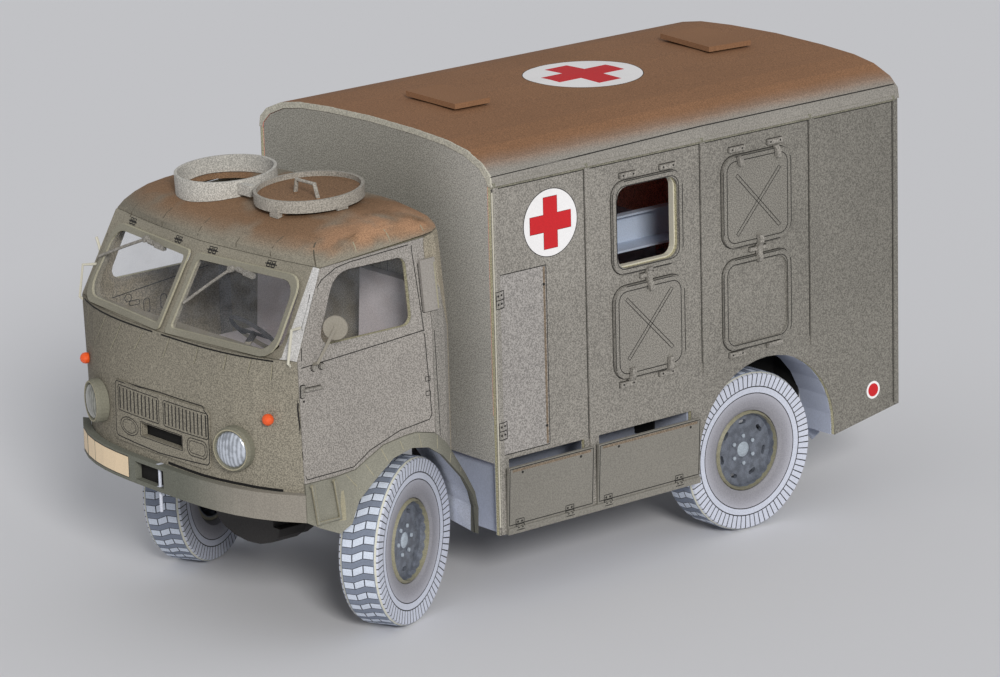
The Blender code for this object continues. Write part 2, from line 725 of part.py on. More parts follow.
def cab_ring(row, grown, front_only=False):
    """One level of the cab's outer shape, grown outward (or inward) by a distance."""
    height, nose, corner, width, rear, bow, round_share, below = row
    inward = grown * (1 - below**2) ** 0.5
    half = CAB_HALF_WIDTH * width + inward
    front = CAB_NOSE * nose + inward
    crease = CAB_NOSE * corner + inward * 0.6
    back = CAB_REAR * rear + inward
    radius = CAB_COLUMN_RADIUS * round_share + inward
    z = CAB_BASE_Z + CAB_HEIGHT * height + grown * below
    right = []
    for i in range(FRONT_STEPS + 1):
        share = i / FRONT_STEPS
        right.append((half * share, AXLE_Y - front + (front - crease) * share**bow, z))
    if front_only:
        left = [(-x, y, z) for x, y, z in reversed(right[1:])]
        return left + right
    for k in range(ARC_STEPS + 1):
        angle = (pi / 2) * k / ARC_STEPS
        right.append(
            (half - radius + radius * cos(angle), AXLE_Y + back - radius + radius * sin(angle), z)
        )
    left = [(-x, y, z) for x, y, z in reversed(right[1:])]
    return left + right


def cab_solid(grown):
    """The cab's outer shape as a plain solid, used to seat what stands on it."""
    return loft([cab_ring(row, grown) for row in CAB_SHARES], bent=True)


def cab_shell():
    outer = [cab_ring(row, 0) for row in CAB_SHARES]
    inner = [cab_ring(row, -CARD) for row in CAB_SHARES]
    return loft(list(reversed(inner)) + outer, bent=True)


def build_cab():
    crease_base = AXLE_Y - CREASE_BASE
    crease_belt = AXLE_Y - CREASE_BELT
    crease_top = AXLE_Y - CREASE_TOP
    column = AXLE_Y + CAB_COLUMN_Y
    wide = CAB_HALF_WIDTH + OVERRUN
    top_front = ROOF_EDGE_FRONT_Z
    top_rear = ROOF_EDGE_REAR_Z
    front_length = column - crease_top
    column_top = top_front + (top_rear - top_front) * front_length / (front_length + CAB_REAR)

    nose = to_object("cab_front", cab_shell(), "card_olive")
    keep(
        nose,
        helper(
            prism(
                [
                    (FAR_FRONT, BELOW_GROUND),
                    (crease_base, BELOW_GROUND),
                    (crease_base, CAB_BASE_Z),
                    (crease_belt, BELT_Z),
                    (FAR_FRONT, BELT_Z),
                ],
                "X",
                -wide,
                wide,
            )
        ),
    )
    grille_slot = rectangle(
        GRILLE_SLOT_X - GRILLE_SLOT_HALF_WIDTH,
        GRILLE_SLOT_X + GRILLE_SLOT_HALF_WIDTH,
        GRILLE_SLOT_Z,
        GRILLE_SLOT_Z + GRILLE_SLOT_HEIGHT,
    )
    slot_cut = helper(prism(grille_slot, "Y", FAR_FRONT, AXLE_Y - CAB_NOSE + OVERRUN))
    cut(nose, slot_cut)

    surround = to_object("windscreen_surround", cab_shell(), "card_olive")
    keep(
        surround,
        helper(
            prism(
                [
                    (FAR_FRONT, BELT_Z + SEAM),
                    (crease_belt, BELT_Z + SEAM),
                    (crease_top, top_front),
                    (FAR_FRONT, top_front),
                ],
                "X",
                -wide,
                wide,
            )
        ),
    )
    for side in (1, -1):
        opening = screen_outline(side, SCREEN_OPENING_INSET)
        cut(surround, helper(prism(opening, "Y", FAR_FRONT, AXLE_Y - CREASE_TOP / 2)))

    for name, side in (("left", 1), ("right", -1)):
        panel = to_object(f"cab_side_{name}", cab_shell(), "card_olive")
        low, high = sorted((side * CAB_HALF_WIDTH / 2, side * wide))
        keep(
            panel,
            helper(
                prism(
                    [
                        (crease_base + SEAM, BELOW_GROUND),
                        (column, BELOW_GROUND),
                        (column, column_top),
                        (crease_top + SEAM, top_front),
                        (crease_belt + SEAM, BELT_Z),
                        (crease_base + SEAM, CAB_BASE_Z),
                    ],
                    "X",
                    low,
                    high,
                )
            ),
        )
        cut(panel, helper(prism(side_window_outline(0), "X", low, high)))
        cut(panel, helper(prism(fender_opening(), "X", low, high)))
        pane_x = (CAB_HALF_WIDTH * 0.955 - CARD - SEAM) * side
        pane_low, pane_high = sorted((pane_x, pane_x - side * THIN_CARD / 2))
        build_side_pane(name, side, pane_low, pane_high)

    rear = to_object("cab_rear_wall", cab_shell(), "card_olive")
    keep(
        rear,
        helper(
            prism(
                [
                    (column + SEAM, BELOW_GROUND),
                    (FAR_REAR, BELOW_GROUND),
                    (FAR_REAR, top_rear),
                    (AXLE_Y + CAB_REAR, top_rear),
                    (column + SEAM, column_top),
                ],
                "X",
                -wide,
                wide,
            )
        ),
    )
    cut(rear, helper(prism(fender_opening(), "X", -wide, wide)))

    roof = to_object("cab_roof", cab_shell(), "card_olive")
    keep(
        roof,
        helper(
            prism(
                [
                    (FAR_FRONT, top_front + SEAM),
                    (crease_top, top_front + SEAM),
                    (AXLE_Y + CAB_REAR, top_rear + SEAM),
                    (FAR_REAR, top_rear + SEAM),
                    (FAR_REAR, FAR_ABOVE),
                    (FAR_FRONT, FAR_ABOVE),
                ],
                "X",
                -wide,
                wide,
            )
        ),
    )
    hole = turned(
        [(HATCH_HOLE_RADIUS, ROOF_EDGE_FRONT_Z), (HATCH_HOLE_RADIUS, FAR_ABOVE)],
        32,
        (HATCH_X, AXLE_Y - HATCH_Y, 0),
        (0, 0, 1),
    )
    cut(roof, helper(hole))

    height, nose, _, *rest = CAB_SHARES[1]
    plan = [(x, y) for x, y, _ in cab_ring((height, nose, CAB_SHARES[0][2], *rest), -CARD - SEAM)]
    to_object("cab_floor", prism(plan, "Z", CAB_FLOOR_Z, CAB_FLOOR_Z + CARD), "card_inside")


def side_window_outline(inset):
    return filleted(
        [
            (AXLE_Y - SIDE_WINDOW_FRONT + inset, SIDE_WINDOW_SILL_Z + inset, SIDE_WINDOW_CORNER),
            (AXLE_Y + SIDE_WINDOW_REAR - inset, SIDE_WINDOW_SILL_Z + inset, SIDE_WINDOW_CORNER),
            (AXLE_Y + SIDE_WINDOW_REAR - inset, SIDE_WINDOW_TOP_Z - inset, SIDE_WINDOW_CORNER),
            (AXLE_Y - SIDE_WINDOW_TOP_FRONT + inset, SIDE_WINDOW_TOP_Z - inset, SIDE_WINDOW_SWEEP),
        ]
    )


def build_side_pane(name, side, low, high):
    """Clear film behind the side window, following the side's inward lean."""
    pane = to_object(f"side_pane_{name}", cab_solid(-CARD - SEAM), "clear_film")
    cut(pane, helper(cab_solid(-CARD - SEAM - THIN_CARD / 2)))
    reach_low, reach_high = sorted((side * CAB_HALF_WIDTH / 2, side * (CAB_HALF_WIDTH + OVERRUN)))
    keep(pane, helper(prism(side_window_outline(-THIN_CARD), "X", reach_low, reach_high)))


def screen_outline(side, inset):
    """Corners of a windscreen opening seen from the front, as (x, z)."""
    return filleted(
        [
            (side * (SCREEN_INNER_X + inset), SCREEN_SILL_Z + inset, SCREEN_CORNER / 4),
            (side * (SCREEN_OUTER_X - inset), SCREEN_SILL_Z + inset, SCREEN_CORNER),
            (side * (SCREEN_TOP_OUTER_X - inset), SCREEN_TOP_Z - inset, SCREEN_CORNER),
            (side * (SCREEN_INNER_X + inset), SCREEN_TOP_Z - inset, SCREEN_CORNER / 4),
        ]
    )


def screen_point(x, z, side, out):
    """The place on the tilted windscreen plane with this x and z, moved forward by out."""
    across = (abs(x) - SCREEN_INNER_X) / (SCREEN_OUTER_X - SCREEN_INNER_X)
    up = (z - SCREEN_SILL_Z) / (SCREEN_TOP_Z - SCREEN_SILL_Z)
    forward = SCREEN_SILL_INNER_Y + (SCREEN_SILL_OUTER_Y - SCREEN_SILL_INNER_Y) * across
    forward += (SCREEN_TOP_INNER_Y - SCREEN_SILL_INNER_Y) * up
    return (x, AXLE_Y - forward - out, z)


def build_screens():
    for name, side in (("left", 1), ("right", -1)):
        outer = screen_outline(side, 0)
        hole = screen_outline(side, SCREEN_FRAME)
        rings = [
            [screen_point(x, z, side, -SCREEN_FRAME_DEPTH) for x, z in outer],
            [screen_point(x, z, side, 0) for x, z in outer],
            [screen_point(x, z, side, 0) for x, z in hole],
            [screen_point(x, z, side, -SCREEN_FRAME_DEPTH) for x, z in hole],
        ]
        to_object(f"windscreen_frame_{name}", loft(rings, round_ends=True), "card_green")
        pane = screen_outline(side, SCREEN_FRAME + SEAM)
        rings = [
            [screen_point(x, z, side, -SCREEN_FRAME_DEPTH * share) for x, z in pane]
            for share in (0.75, 0.25)
        ]
        to_object(f"windscreen_pane_{name}", loft(rings), "clear_film")


def fender_opening():
    """The cab side is cut away below the fender's outer edge."""
    edge = [(AXLE_Y + y, z + SEAM) for y, z, _, _, _ in FENDER_PLACES]
    front = (FAR_FRONT, FENDER_PLACES[0][1] + SEAM)
    rear = (FAR_REAR, BELOW_GROUND)
    return [front] + edge + [(edge[-1][0], BELOW_GROUND), (FAR_FRONT, BELOW_GROUND)]


def build_fenders():
    for name, side in (("left", 1), ("right", -1)):
        rings = []
        for y0, z0, y1, z1, stand in FENDER_PLACES:
            root = CAB_HALF_WIDTH + FENDER_ROOT
            lip = root + FENDER_LIP * stand
            rings.append(
                mirrored(
                    [
                        (root, AXLE_Y + y0, z0),
                        (lip, AXLE_Y + y1, z1),
                        (lip - CARD, AXLE_Y + y1, z1),
                        (root - CARD, AXLE_Y + y0, z0),
                    ],
                    side,
                )
            )
        fender = to_object(f"fender_{name}", loft(rings, bent=True), "card_green")
        liner = []
        low = FENDER_PLACES[-1][1]
        for y0, z0, y1, z1, _ in FENDER_PLACES[LINER_START:]:
            root = CAB_HALF_WIDTH - CARD / 2
            drop = 1 - (z0 - low) / (FENDER_TOP_Z - low)
            spread = LINER_SPREAD * drop
            across = Vector((y0 - y1, z0 - z1)).normalized() * THIN_CARD
            liner.append(
                mirrored(
                    [
                        (root, AXLE_Y + y0 - across.x, z0 - across.y),
                        (root, AXLE_Y + y0, z0),
                        (LINER_INNER_X, AXLE_Y + y0 + spread, z0),
                        (LINER_INNER_X, AXLE_Y + y0 + spread - across.x, z0 - across.y),
                    ],
                    side,
                )
            )
        join(fender, helper(loft(liner, bent=True)))
        step_x = side * (CAB_HALF_WIDTH + STEP_REACH)
        inner_x = side * CAB_HALF_WIDTH
        front_y = AXLE_Y + FENDER_PLACES[0][0] + STEP_REACH
        rear_y = AXLE_Y + FENDER_PLACES[2][0]
        top = FENDER_PLACES[0][1] - STEP_WIRE
        step = wire(
            [
                (inner_x, front_y, top),
                (step_x, front_y, top),
                (step_x, front_y + STEP_REACH, top - STEP_DROP),
                (step_x, rear_y, top - STEP_DROP),
                (step_x, rear_y - STEP_REACH, top),
                (inner_x, rear_y - STEP_REACH, top),
            ],
            STEP_WIRE,
        )
        join(fender, helper(step))


def build_cab_fittings():
    base = CAB_SHARES[0]
    inner = cab_ring(base, SEAM, front_only=True)
    outer = cab_ring(base, SEAM + BUMPER_THICKNESS, front_only=True)
    outline = [(x, y) for x, y, _ in outer] + [(x, y) for x, y, _ in reversed(inner)]
    bumper = to_object("bumper", prism(outline, "Z", BUMPER_BASE_Z, BUMPER_TOP_Z), "card_green")
    slot_base = (BUMPER_BASE_Z + BUMPER_TOP_Z - SLOT_HEIGHT) / 2
    cut(
        bumper,
        helper(
            block(
                SLOT_X - SLOT_HALF_WIDTH, SLOT_X + SLOT_HALF_WIDTH,
                FAR_FRONT, AXLE_Y - CAB_NOSE + OVERRUN, slot_base, slot_base + SLOT_HEIGHT,
            )
        ),
    )
    pin_y = AXLE_Y - CAB_NOSE - SEAM - BUMPER_THICKNESS / 2
    join(
        bumper,
        helper(
            turned(
                [(PIN_RADIUS, PIN_BASE_Z), (PIN_RADIUS, slot_base + SLOT_HEIGHT + PIN_RADIUS)],
                8,
                (PIN_X, pin_y, 0),
                (0, 0, 1),
            )
        ),
    )

    grille = to_object("grille_panel", cab_solid(SEAM + GRILLE_PROUD), "card_olive")
    outline = rectangle(
        -GRILLE_HALF_WIDTH, GRILLE_HALF_WIDTH, GRILLE_BASE_Z, GRILLE_TOP_Z, GRILLE_PROUD * 4
    )
    keep(grille, helper(prism(outline, "Y", FAR_FRONT, AXLE_Y - CAB_NOSE / 2)))
    cut(grille, helper(cab_solid(SEAM)))
    slot = rectangle(
        GRILLE_SLOT_X - GRILLE_SLOT_HALF_WIDTH,
        GRILLE_SLOT_X + GRILLE_SLOT_HALF_WIDTH,
        GRILLE_SLOT_Z,
        GRILLE_SLOT_Z + GRILLE_SLOT_HEIGHT,
    )
    cut(grille, helper(prism(slot, "Y", FAR_FRONT, AXLE_Y - CAB_NOSE / 2)))

    for name, side in (("left", 1), ("right", -1)):
        body = [
            (HEADLIGHT_RADIUS - HEADLIGHT_RING, -HEADLIGHT_LENGTH - HEADLIGHT_RADIUS / 4),
            (HEADLIGHT_RADIUS, -HEADLIGHT_LENGTH),
            (HEADLIGHT_RADIUS, -HEADLIGHT_RING),
            (HEADLIGHT_RADIUS - HEADLIGHT_RING / 2, 0),
            (HEADLIGHT_RADIUS - HEADLIGHT_RING, 0),
            (HEADLIGHT_RADIUS - HEADLIGHT_RING * 3 / 2, -HEADLIGHT_RING),
            (HEADLIGHT_RADIUS / 2, -HEADLIGHT_RING / 2),
        ]
        yaw = side * radians(HEADLIGHT_YAW_DEG)
        face = (side * HEADLIGHT_X, AXLE_Y - HEADLIGHT_FACE, HEADLIGHT_Z)
        lamp = to_object(f"headlight_{name}", turned(body, 24, face, (sin(yaw), -cos(yaw), 0)), "lens")
        cut(lamp, helper(cab_solid(SEAM)))
        ball = bmesh.new()
        bmesh.ops.create_icosphere(
            ball,
            subdivisions=2,
            radius=INDICATOR_RADIUS,
            matrix=Matrix.Translation((side * INDICATOR_X, AXLE_Y - INDICATOR_Y, INDICATOR_Z)),
        )
        cut(to_object(f"indicator_{name}", ball, "orange_ball"), helper(cab_solid(SEAM)))

    build_hatch()
    duct = to_object(
        "duct_box",
        block(
            CAB_HALF_WIDTH * 0.9, CAB_HALF_WIDTH + DUCT_PROUD, AXLE_Y + DUCT_FRONT, AXLE_Y + DUCT_REAR,
            DUCT_BASE_Z, DUCT_TOP_Z,
        ),
        "card_green",
    )
    keep(duct, helper(cab_solid(DUCT_PROUD)))
    cut(duct, helper(cab_solid(SEAM)))
    build_engine()
    build_mirror()
    for name, side in (("left", 1), ("right", -1)):
        grip = [Vector((x, AXLE_Y - ahead, z)) for x, ahead, z in GRIP_PLACES]
        grip = to_object(f"grab_handle_{name}", wire(mirrored(grip, side), GRIP_WIRE), "card_pale")
        cut(grip, helper(cab_solid(SEAM)))
        build_seat(name, side)
    rod = [Vector((x, AXLE_Y - ahead, z)) for x, ahead, z in ROD_PLACES]
    rod = to_object("marker_rod", wire(mirrored(rod, -1), GRIP_WIRE), "card_pale")
    cut(rod, helper(cab_solid(SEAM)))
    dash_y = AXLE_Y - CAB_NOSE * 0.90
    dash = to_object("dashboard", cab_solid(-CARD - SEAM), "card_inside")
    keep(
        dash,
        helper(
            prism(
                [
                    (FAR_FRONT, DASH_TOP_Z - DASH_DEPTH),
                    (dash_y + DASH_DEPTH / 2, DASH_TOP_Z - DASH_DEPTH),
                    (dash_y + DASH_DEPTH, DASH_TOP_Z - DASH_DEPTH / 2),
                    (dash_y + DASH_DEPTH, DASH_TOP_Z),
                    (FAR_FRONT, DASH_TOP_Z),
                ],
                "X",
                -CAB_HALF_WIDTH,
                CAB_HALF_WIDTH,
            )
        ),
    )
    wheel_centre = Vector((SEAT_X, dash_y + DASH_DEPTH * 1.5, DASH_TOP_Z + DASH_DEPTH / 4))
    tilt = Vector((0, 1, 1)).normalized()
    ring = turned_ring(
        [
            (STEERING_RADIUS, -STEP_WIRE),
            (STEERING_RADIUS + STEP_WIRE, 0),
            (STEERING_RADIUS, STEP_WIRE),
            (STEERING_RADIUS - STEP_WIRE, 0),
        ],
        20,
        wheel_centre,
        tilt,
    )
    across = wire(
        [
            wheel_centre - Vector((STEERING_RADIUS, 0, 0)),
            wheel_centre + Vector((STEERING_RADIUS, 0, 0)),
        ],
        STEERING_SPOKE,
    )
    column = wire([wheel_centre + tilt * STEP_WIRE / 2, wheel_centre - tilt * DASH_DEPTH * 1.1], STEERING_COLUMN, 8)
    join(dash, helper(ring), helper(across), helper(column))


def build_hatch():
    """The ring round the hatch and the lid that lies beside it on feet, both leaning a little forward."""
    lean = radians(HATCH_TILT_DEG)
    upward = Vector((0, -sin(lean), cos(lean)))
    ring_centre = Vector((HATCH_X, AXLE_Y - HATCH_Y, HATCH_TOP_Z))
    depth = ROOF_EDGE_REAR_Z - HATCH_TOP_Z
    ring_profile = [
        (HATCH_RADIUS, depth),
        (HATCH_RADIUS, 0),
        (HATCH_RADIUS - THIN_CARD, 0),
        (HATCH_RADIUS - THIN_CARD, depth),
    ]
    ring = to_object("hatch_ring", turned_ring(ring_profile, 40, ring_centre, upward), "card_olive")
    lug_x = HATCH_X + HATCH_RADIUS - THIN_CARD
    lug_y = AXLE_Y - HATCH_Y - HINGE_LUG_Y
    lug = block(
        lug_x, lug_x + HINGE_LUG_LENGTH, lug_y - HINGE_LUG_WIDTH / 2, lug_y + HINGE_LUG_WIDTH / 2,
        HATCH_TOP_Z - HINGE_LUG_HEIGHT - THIN_CARD, HATCH_TOP_Z - THIN_CARD,
    )
    join(ring, helper(lug))
    cut(ring, helper(cab_solid(SEAM)))

    lid_centre = Vector((LID_X, AXLE_Y - LID_Y, LID_BASE_Z))
    disc_top = LID_HEIGHT - LID_DISC_DROP
    lid_profile = [
        (LID_RADIUS - THIN_CARD, 0),
        (LID_RADIUS, 0),
        (LID_RADIUS, LID_HEIGHT),
        (LID_RADIUS - THIN_CARD, LID_HEIGHT),
        (LID_RADIUS - THIN_CARD, disc_top),
    ]
    lid = to_object("hatch_lid", turned(lid_profile, 40, lid_centre, upward), "card_olive")
    for ahead, left in LID_FEET:
        x = LID_X + left
        y = AXLE_Y - LID_Y - ahead
        foot = block(
            x - LID_FOOT / 2, x + LID_FOOT / 2, y - LID_FOOT / 2, y + LID_FOOT / 2,
            ROOF_EDGE_REAR_Z, LID_BASE_Z + THIN_CARD,
        )
        join(lid, helper(foot))
    middle = lid_centre + upward * disc_top + Vector((HANDLE_X, -HANDLE_Y, 0))
    handle = wire(
        [
            middle + Vector((-HANDLE_FOOT, 0, 0)) - upward * THIN_CARD / 2,
            middle + Vector((-HANDLE_TOP, 0, 0)) + upward * HANDLE_HEIGHT,
            middle + Vector((HANDLE_TOP, 0, 0)) + upward * HANDLE_HEIGHT,
            middle + Vector((HANDLE_FOOT, 0, 0)) - upward * THIN_CARD / 2,
        ],
        STEP_WIRE,
    )
    join(lid, helper(handle))
    cut(lid, helper(cab_solid(SEAM)))


def build_engine():
    """The block under the cab floor with its rounded pan, seen below the bumper."""
    steps = 2 * ARC_STEPS
    outline = [(ENGINE_HALF_WIDTH, PAN_TOP_Z), (ENGINE_HALF_WIDTH, CAB_FLOOR_Z - SEAM)]
    outline += [(-ENGINE_HALF_WIDTH, CAB_FLOOR_Z - SEAM), (-ENGINE_HALF_WIDTH, PAN_TOP_Z)]
    for i in range(steps + 1):
        angle = pi * i / steps
        outline.append((-PAN_HALF_WIDTH * cos(angle), PAN_TOP_Z - (PAN_TOP_Z - PAN_BASE_Z) * sin(angle)))
    to_object(
        "engine_block", prism(outline, "Y", AXLE_Y - ENGINE_FRONT, AXLE_Y - ENGINE_REAR), "card_olive"
    )


def build_mirror():
    """The left mirror, its face turned halfway between back and inward, on a thin stalk."""
    foot = Vector((CAB_HALF_WIDTH - SEAM, AXLE_Y - MIRROR_FOOT_Y, MIRROR_FOOT_Z))
    knee = foot + Vector((MIRROR_OUT / 2, 0, MIRROR_THICKNESS))
    centre = Vector((CAB_HALF_WIDTH + MIRROR_OUT, AXLE_Y - MIRROR_Y, MIRROR_Z))
    face = Vector((-1, 1, 0)).normalized()
    disc = turned([(MIRROR_RADIUS, 0), (MIRROR_RADIUS, MIRROR_THICKNESS)], 20, centre, face)
    mirror = to_object("mirror_left", disc, "card_olive")
    arm = wire([foot, knee, centre - face * MIRROR_ARM / 2, centre + Vector((0, 0, MIRROR_RADIUS / 4))], MIRROR_ARM)
    join(mirror, helper(arm))
    cut(mirror, helper(cab_solid(SEAM)))


def build_seat(name, side):
    x0 = side * SEAT_X - SEAT_WIDTH / 2
    x1 = side * SEAT_X + SEAT_WIDTH / 2
    back_y = AXLE_Y + CAB_REAR - CARD - RUNNING_GAP
    outline = [
        (back_y - SEAT_DEPTH, CAB_FLOOR_Z + CARD + SEAM),
        (back_y, CAB_FLOOR_Z + CARD + SEAM),
        (back_y, SEAT_BACK_TOP_Z),
        (back_y - CARD * 2, SEAT_BACK_TOP_Z),
        (back_y - CARD * 3, SEAT_Z),
        (back_y - SEAT_DEPTH, SEAT_Z),
    ]
    to_object(f"seat_{name}", prism(outline, "X", x0, x1), "card_inside")


def roof_outline(inset, drop):
    """The roof's cross-section from the right eave over the top to the left eave."""
    right = []
    for width, rise in ROOF_SHARES:
        z = EAVE_Z + ROOF_RISE * rise - (inset if rise else 0) - drop
        right.append(((BOX_HALF_WIDTH + EAVE_PROUD - inset) * width, z))
    left = [(-x, z) for x, z in right[:-1]]
    return left + list(reversed(right))


def wall_outline(base):
    """A front or rear wall, from its base up to just under the roof."""
    half = BOX_HALF_WIDTH - CARD - SEAM
    top = [(max(-half, min(half, x)), z) for x, z in roof_outline(CARD + SEAM, 0)]
    return [(half, base), (-half, base)] + top


def build_box():
    front_y = BOX_FRONT_Y
    rear_y = BOX_REAR_Y
    to_object(
        "box_front_wall", prism(wall_outline(FRONT_WALL_Z), "Y", front_y, front_y + CARD), "card_olive"
    )
    rear = to_object(
        "box_rear_wall", prism(wall_outline(BOX_FLOOR_Z - RAIL_HEIGHT), "Y", rear_y - CARD, rear_y), "card_olive"
    )
    for side in (1, -1):
        near = side * DOOR_GAP
        far = side * (DOOR_GAP + DOOR_LEAF_WIDTH)
        leaf = rectangle(min(near, far), max(near, far), DOOR_LEAF_SILL_Z, DOOR_LEAF_TOP_Z, CARD)
        join(rear, helper(prism(leaf, "Y", rear_y - CARD / 2, rear_y + DOOR_LEAF_PROUD)))
        middle = (near + far) / 2
        window = rectangle(
            middle - DOOR_WINDOW_HALF,
            middle + DOOR_WINDOW_HALF,
            DOOR_WINDOW_Z - DOOR_WINDOW_HALF,
            DOOR_WINDOW_Z + DOOR_WINDOW_HALF,
            WINDOW_CORNER,
        )
        cut(rear, helper(prism(window, "Y", rear_y - OVERRUN, rear_y + OVERRUN)))

    outer = roof_outline(0, 0)
    inner = roof_outline(CARD, 0)
    inner[0] = (inner[0][0], outer[0][1])
    inner[-1] = (inner[-1][0], outer[-1][1])
    to_object(
        "box_roof",
        prism(outer + list(reversed(inner)), "Y", front_y - SEAM, rear_y + ROOF_REAR_OVERHANG),
        "card_olive",
    )

    floor_half = BOX_HALF_WIDTH - CARD - SEAM
    floor = to_object(
        "box_floor",
        block(
            -floor_half, floor_half, front_y + CARD + SEAM, rear_y - CARD - SEAM, BOX_FLOOR_Z, BOX_FLOOR_Z + CARD
        ),
        "card_grey",
    )
    for side in (1, -1):
        join(floor, rear_liner(side))

    for name, side in (("left", 1), ("right", -1)):
        build_box_side(name, side)
        build_locker(name, side)
    build_bench()
    for name in VENT_LID_SHARES:
        build_roof_vent(name)


def rear_liner(side):
    """The curved sheet over and behind a rear wheel, hanging from the floor."""
    x0 = side * (BOX_HALF_WIDTH - CARD - SEAM)
    x1 = side * (BOX_HALF_WIDTH - CARD - SEAM - LINER_INSET)
    outer = []
    inner = []
    top = BOX_FLOOR_Z + CARD / 2
    for i in range(13):
        angle = radians(LINER_FROM_DEG + (LINER_TO_DEG - LINER_FROM_DEG) * i / 12)
        for points, radius in ((outer, ARCH_RADIUS + THIN_CARD), (inner, ARCH_RADIUS)):
            points.append((ARCH_Y + radius * cos(angle), ARCH_CENTRE_Z + radius * sin(angle)))
    hanger = [(ARCH_Y, top), (ARCH_Y + CARD, top)]
    sheet = outer + list(reversed(inner))
    bm = prism(sheet, "X", min(x0, x1), max(x0, x1))
    post = block(
        min(x0, x1), max(x0, x1), hanger[0][0], hanger[1][0], ARCH_CENTRE_Z + ARCH_RADIUS + THIN_CARD / 2, top
    )
    mesh = helper(bm)
    return join(mesh, helper(post))


def side_outline():
    """A box side with its wheel arch, as (y, z)."""
    front = BOX_FRONT_Y
    rear = BOX_REAR_Y
    outline = [(front, SKIRT_Z)]
    steps = 20
    outline.append((ARCH_Y - ARCH_RADIUS, SKIRT_Z))
    for i in range(steps + 1):
        angle = pi - pi * i / steps
        outline.append((ARCH_Y + ARCH_RADIUS * cos(angle), ARCH_CENTRE_Z + ARCH_RADIUS * sin(angle)))
    outline.append((ARCH_Y + ARCH_RADIUS, ARCH_REAR_Z))
    outline.append((rear, REAR_SKIRT_Z))
    outline.append((rear, EAVE_Z - SEAM))
    outline.append((front, EAVE_Z - SEAM))
    return outline


def span(side, inner, outer):
    """The low and high x of a wall on one side."""
    return sorted((side * inner, side * outer))


def build_box_side(name, side):
    wall = span(side, BOX_HALF_WIDTH - CARD, BOX_HALF_WIDTH)
    panel = to_object(f"box_side_{name}", prism(side_outline(), "X", *wall), "card_olive")
    for share in RIB_SHARES:
        y = BOX_FRONT_Y + BOX_LENGTH * share
        base = SKIRT_Z if y < ARCH_Y - ARCH_RADIUS else ARCH_CENTRE_Z + ARCH_RADIUS
        if y > ARCH_Y + ARCH_RADIUS:
            base = REAR_SKIRT_Z
        elif y > ARCH_Y:
            base = ARCH_CENTRE_Z + ARCH_RADIUS
        rib = block(
            *span(side, BOX_HALF_WIDTH - CARD / 2, BOX_HALF_WIDTH + RIB_PROUD),
            max(y - RIB_WIDTH / 2, BOX_FRONT_Y), min(y + RIB_WIDTH / 2, BOX_REAR_Y), base + SEAM, EAVE_Z - SEAM * 2,
        )
        join(panel, helper(rib))
    for column, share in enumerate(WINDOW_SHARES):
        y = BOX_FRONT_Y + BOX_LENGTH * share
        for level, z in enumerate((WINDOW_Z, LOWER_WINDOW_Z)):
            covered = column != level
            build_window(panel, side, y, z, covered, open_through=(column == 0 and level == 0))
    for index in range(2):
        y0, y1 = flap_span(index)
        opening = rectangle(
            y0 + FLAP_FRAME, y1 - FLAP_FRAME, SKIRT_Z + FLAP_FRAME * 2, LOCKER_TOP_Z + FLAP_GAP, 0
        )
        cut(panel, helper(prism(opening, "X", *span(side, BOX_HALF_WIDTH - OVERRUN, BOX_HALF_WIDTH + OVERRUN))))
    build_flaps(name, side)


def flap_span(index):
    """Where the two locker flaps lie along the box, between its ribs."""
    ribs = [BOX_FRONT_Y + BOX_LENGTH * share for share in RIB_SHARES]
    end = ARCH_Y - ARCH_RADIUS
    spans = ((ribs[0] + RIB_WIDTH / 2, ribs[1] - RIB_WIDTH / 2), (ribs[1] + RIB_WIDTH / 2, end - RIB_WIDTH / 2))
    return spans[index]


def build_window(panel, side, y, z, covered, open_through):
    half_w = WINDOW_WIDTH / 2
    half_h = WINDOW_HEIGHT / 2
    proud = COVER_PROUD if covered else FRAME_PROUD
    outline = rectangle(y - half_w, y + half_w, z - half_h, z + half_h, WINDOW_CORNER)
    join(panel, helper(prism(outline, "X", *span(side, BOX_HALF_WIDTH - CARD / 2, BOX_HALF_WIDTH + proud))))
    inset = WINDOW_FRAME
    hole = rectangle(
        y - half_w + inset, y + half_w - inset, z - half_h + inset, z + half_h - inset, WINDOW_CORNER - inset / 2
    )
    if open_through:
        cut(panel, helper(prism(hole, "X", *span(side, BOX_HALF_WIDTH - OVERRUN, BOX_HALF_WIDTH + OVERRUN))))
    elif not covered:
        cut(panel, helper(prism(hole, "X", *span(side, BOX_HALF_WIDTH, BOX_HALF_WIDTH + OVERRUN))))


def build_flaps(name, side):
    """Two flaps standing a little ajar on one sill strip that clears the rib between them."""
    x = BOX_HALF_WIDTH + SEAM
    first, _ = flap_span(0)
    _, last = flap_span(1)
    sill_x = x + RIB_PROUD
    sill = block(*span(side, sill_x, sill_x + FLAP_PROUD), first, last, SKIRT_Z, SKIRT_Z + FLAP_FRAME)
    flaps = to_object(f"locker_flaps_{name}", sill, "card_olive")
    for index in range(2):
        y0, y1 = flap_span(index)
        section = [
            (side * x, SKIRT_Z + FLAP_FRAME / 2),
            (side * (x + FLAP_PROUD), SKIRT_Z + FLAP_FRAME / 2),
            (side * (x + FLAP_PROUD + FLAP_AJAR), LOCKER_TOP_Z),
            (side * (x + FLAP_AJAR), LOCKER_TOP_Z),
        ]
        join(flaps, helper(prism(section, "Y", y0, y1)))


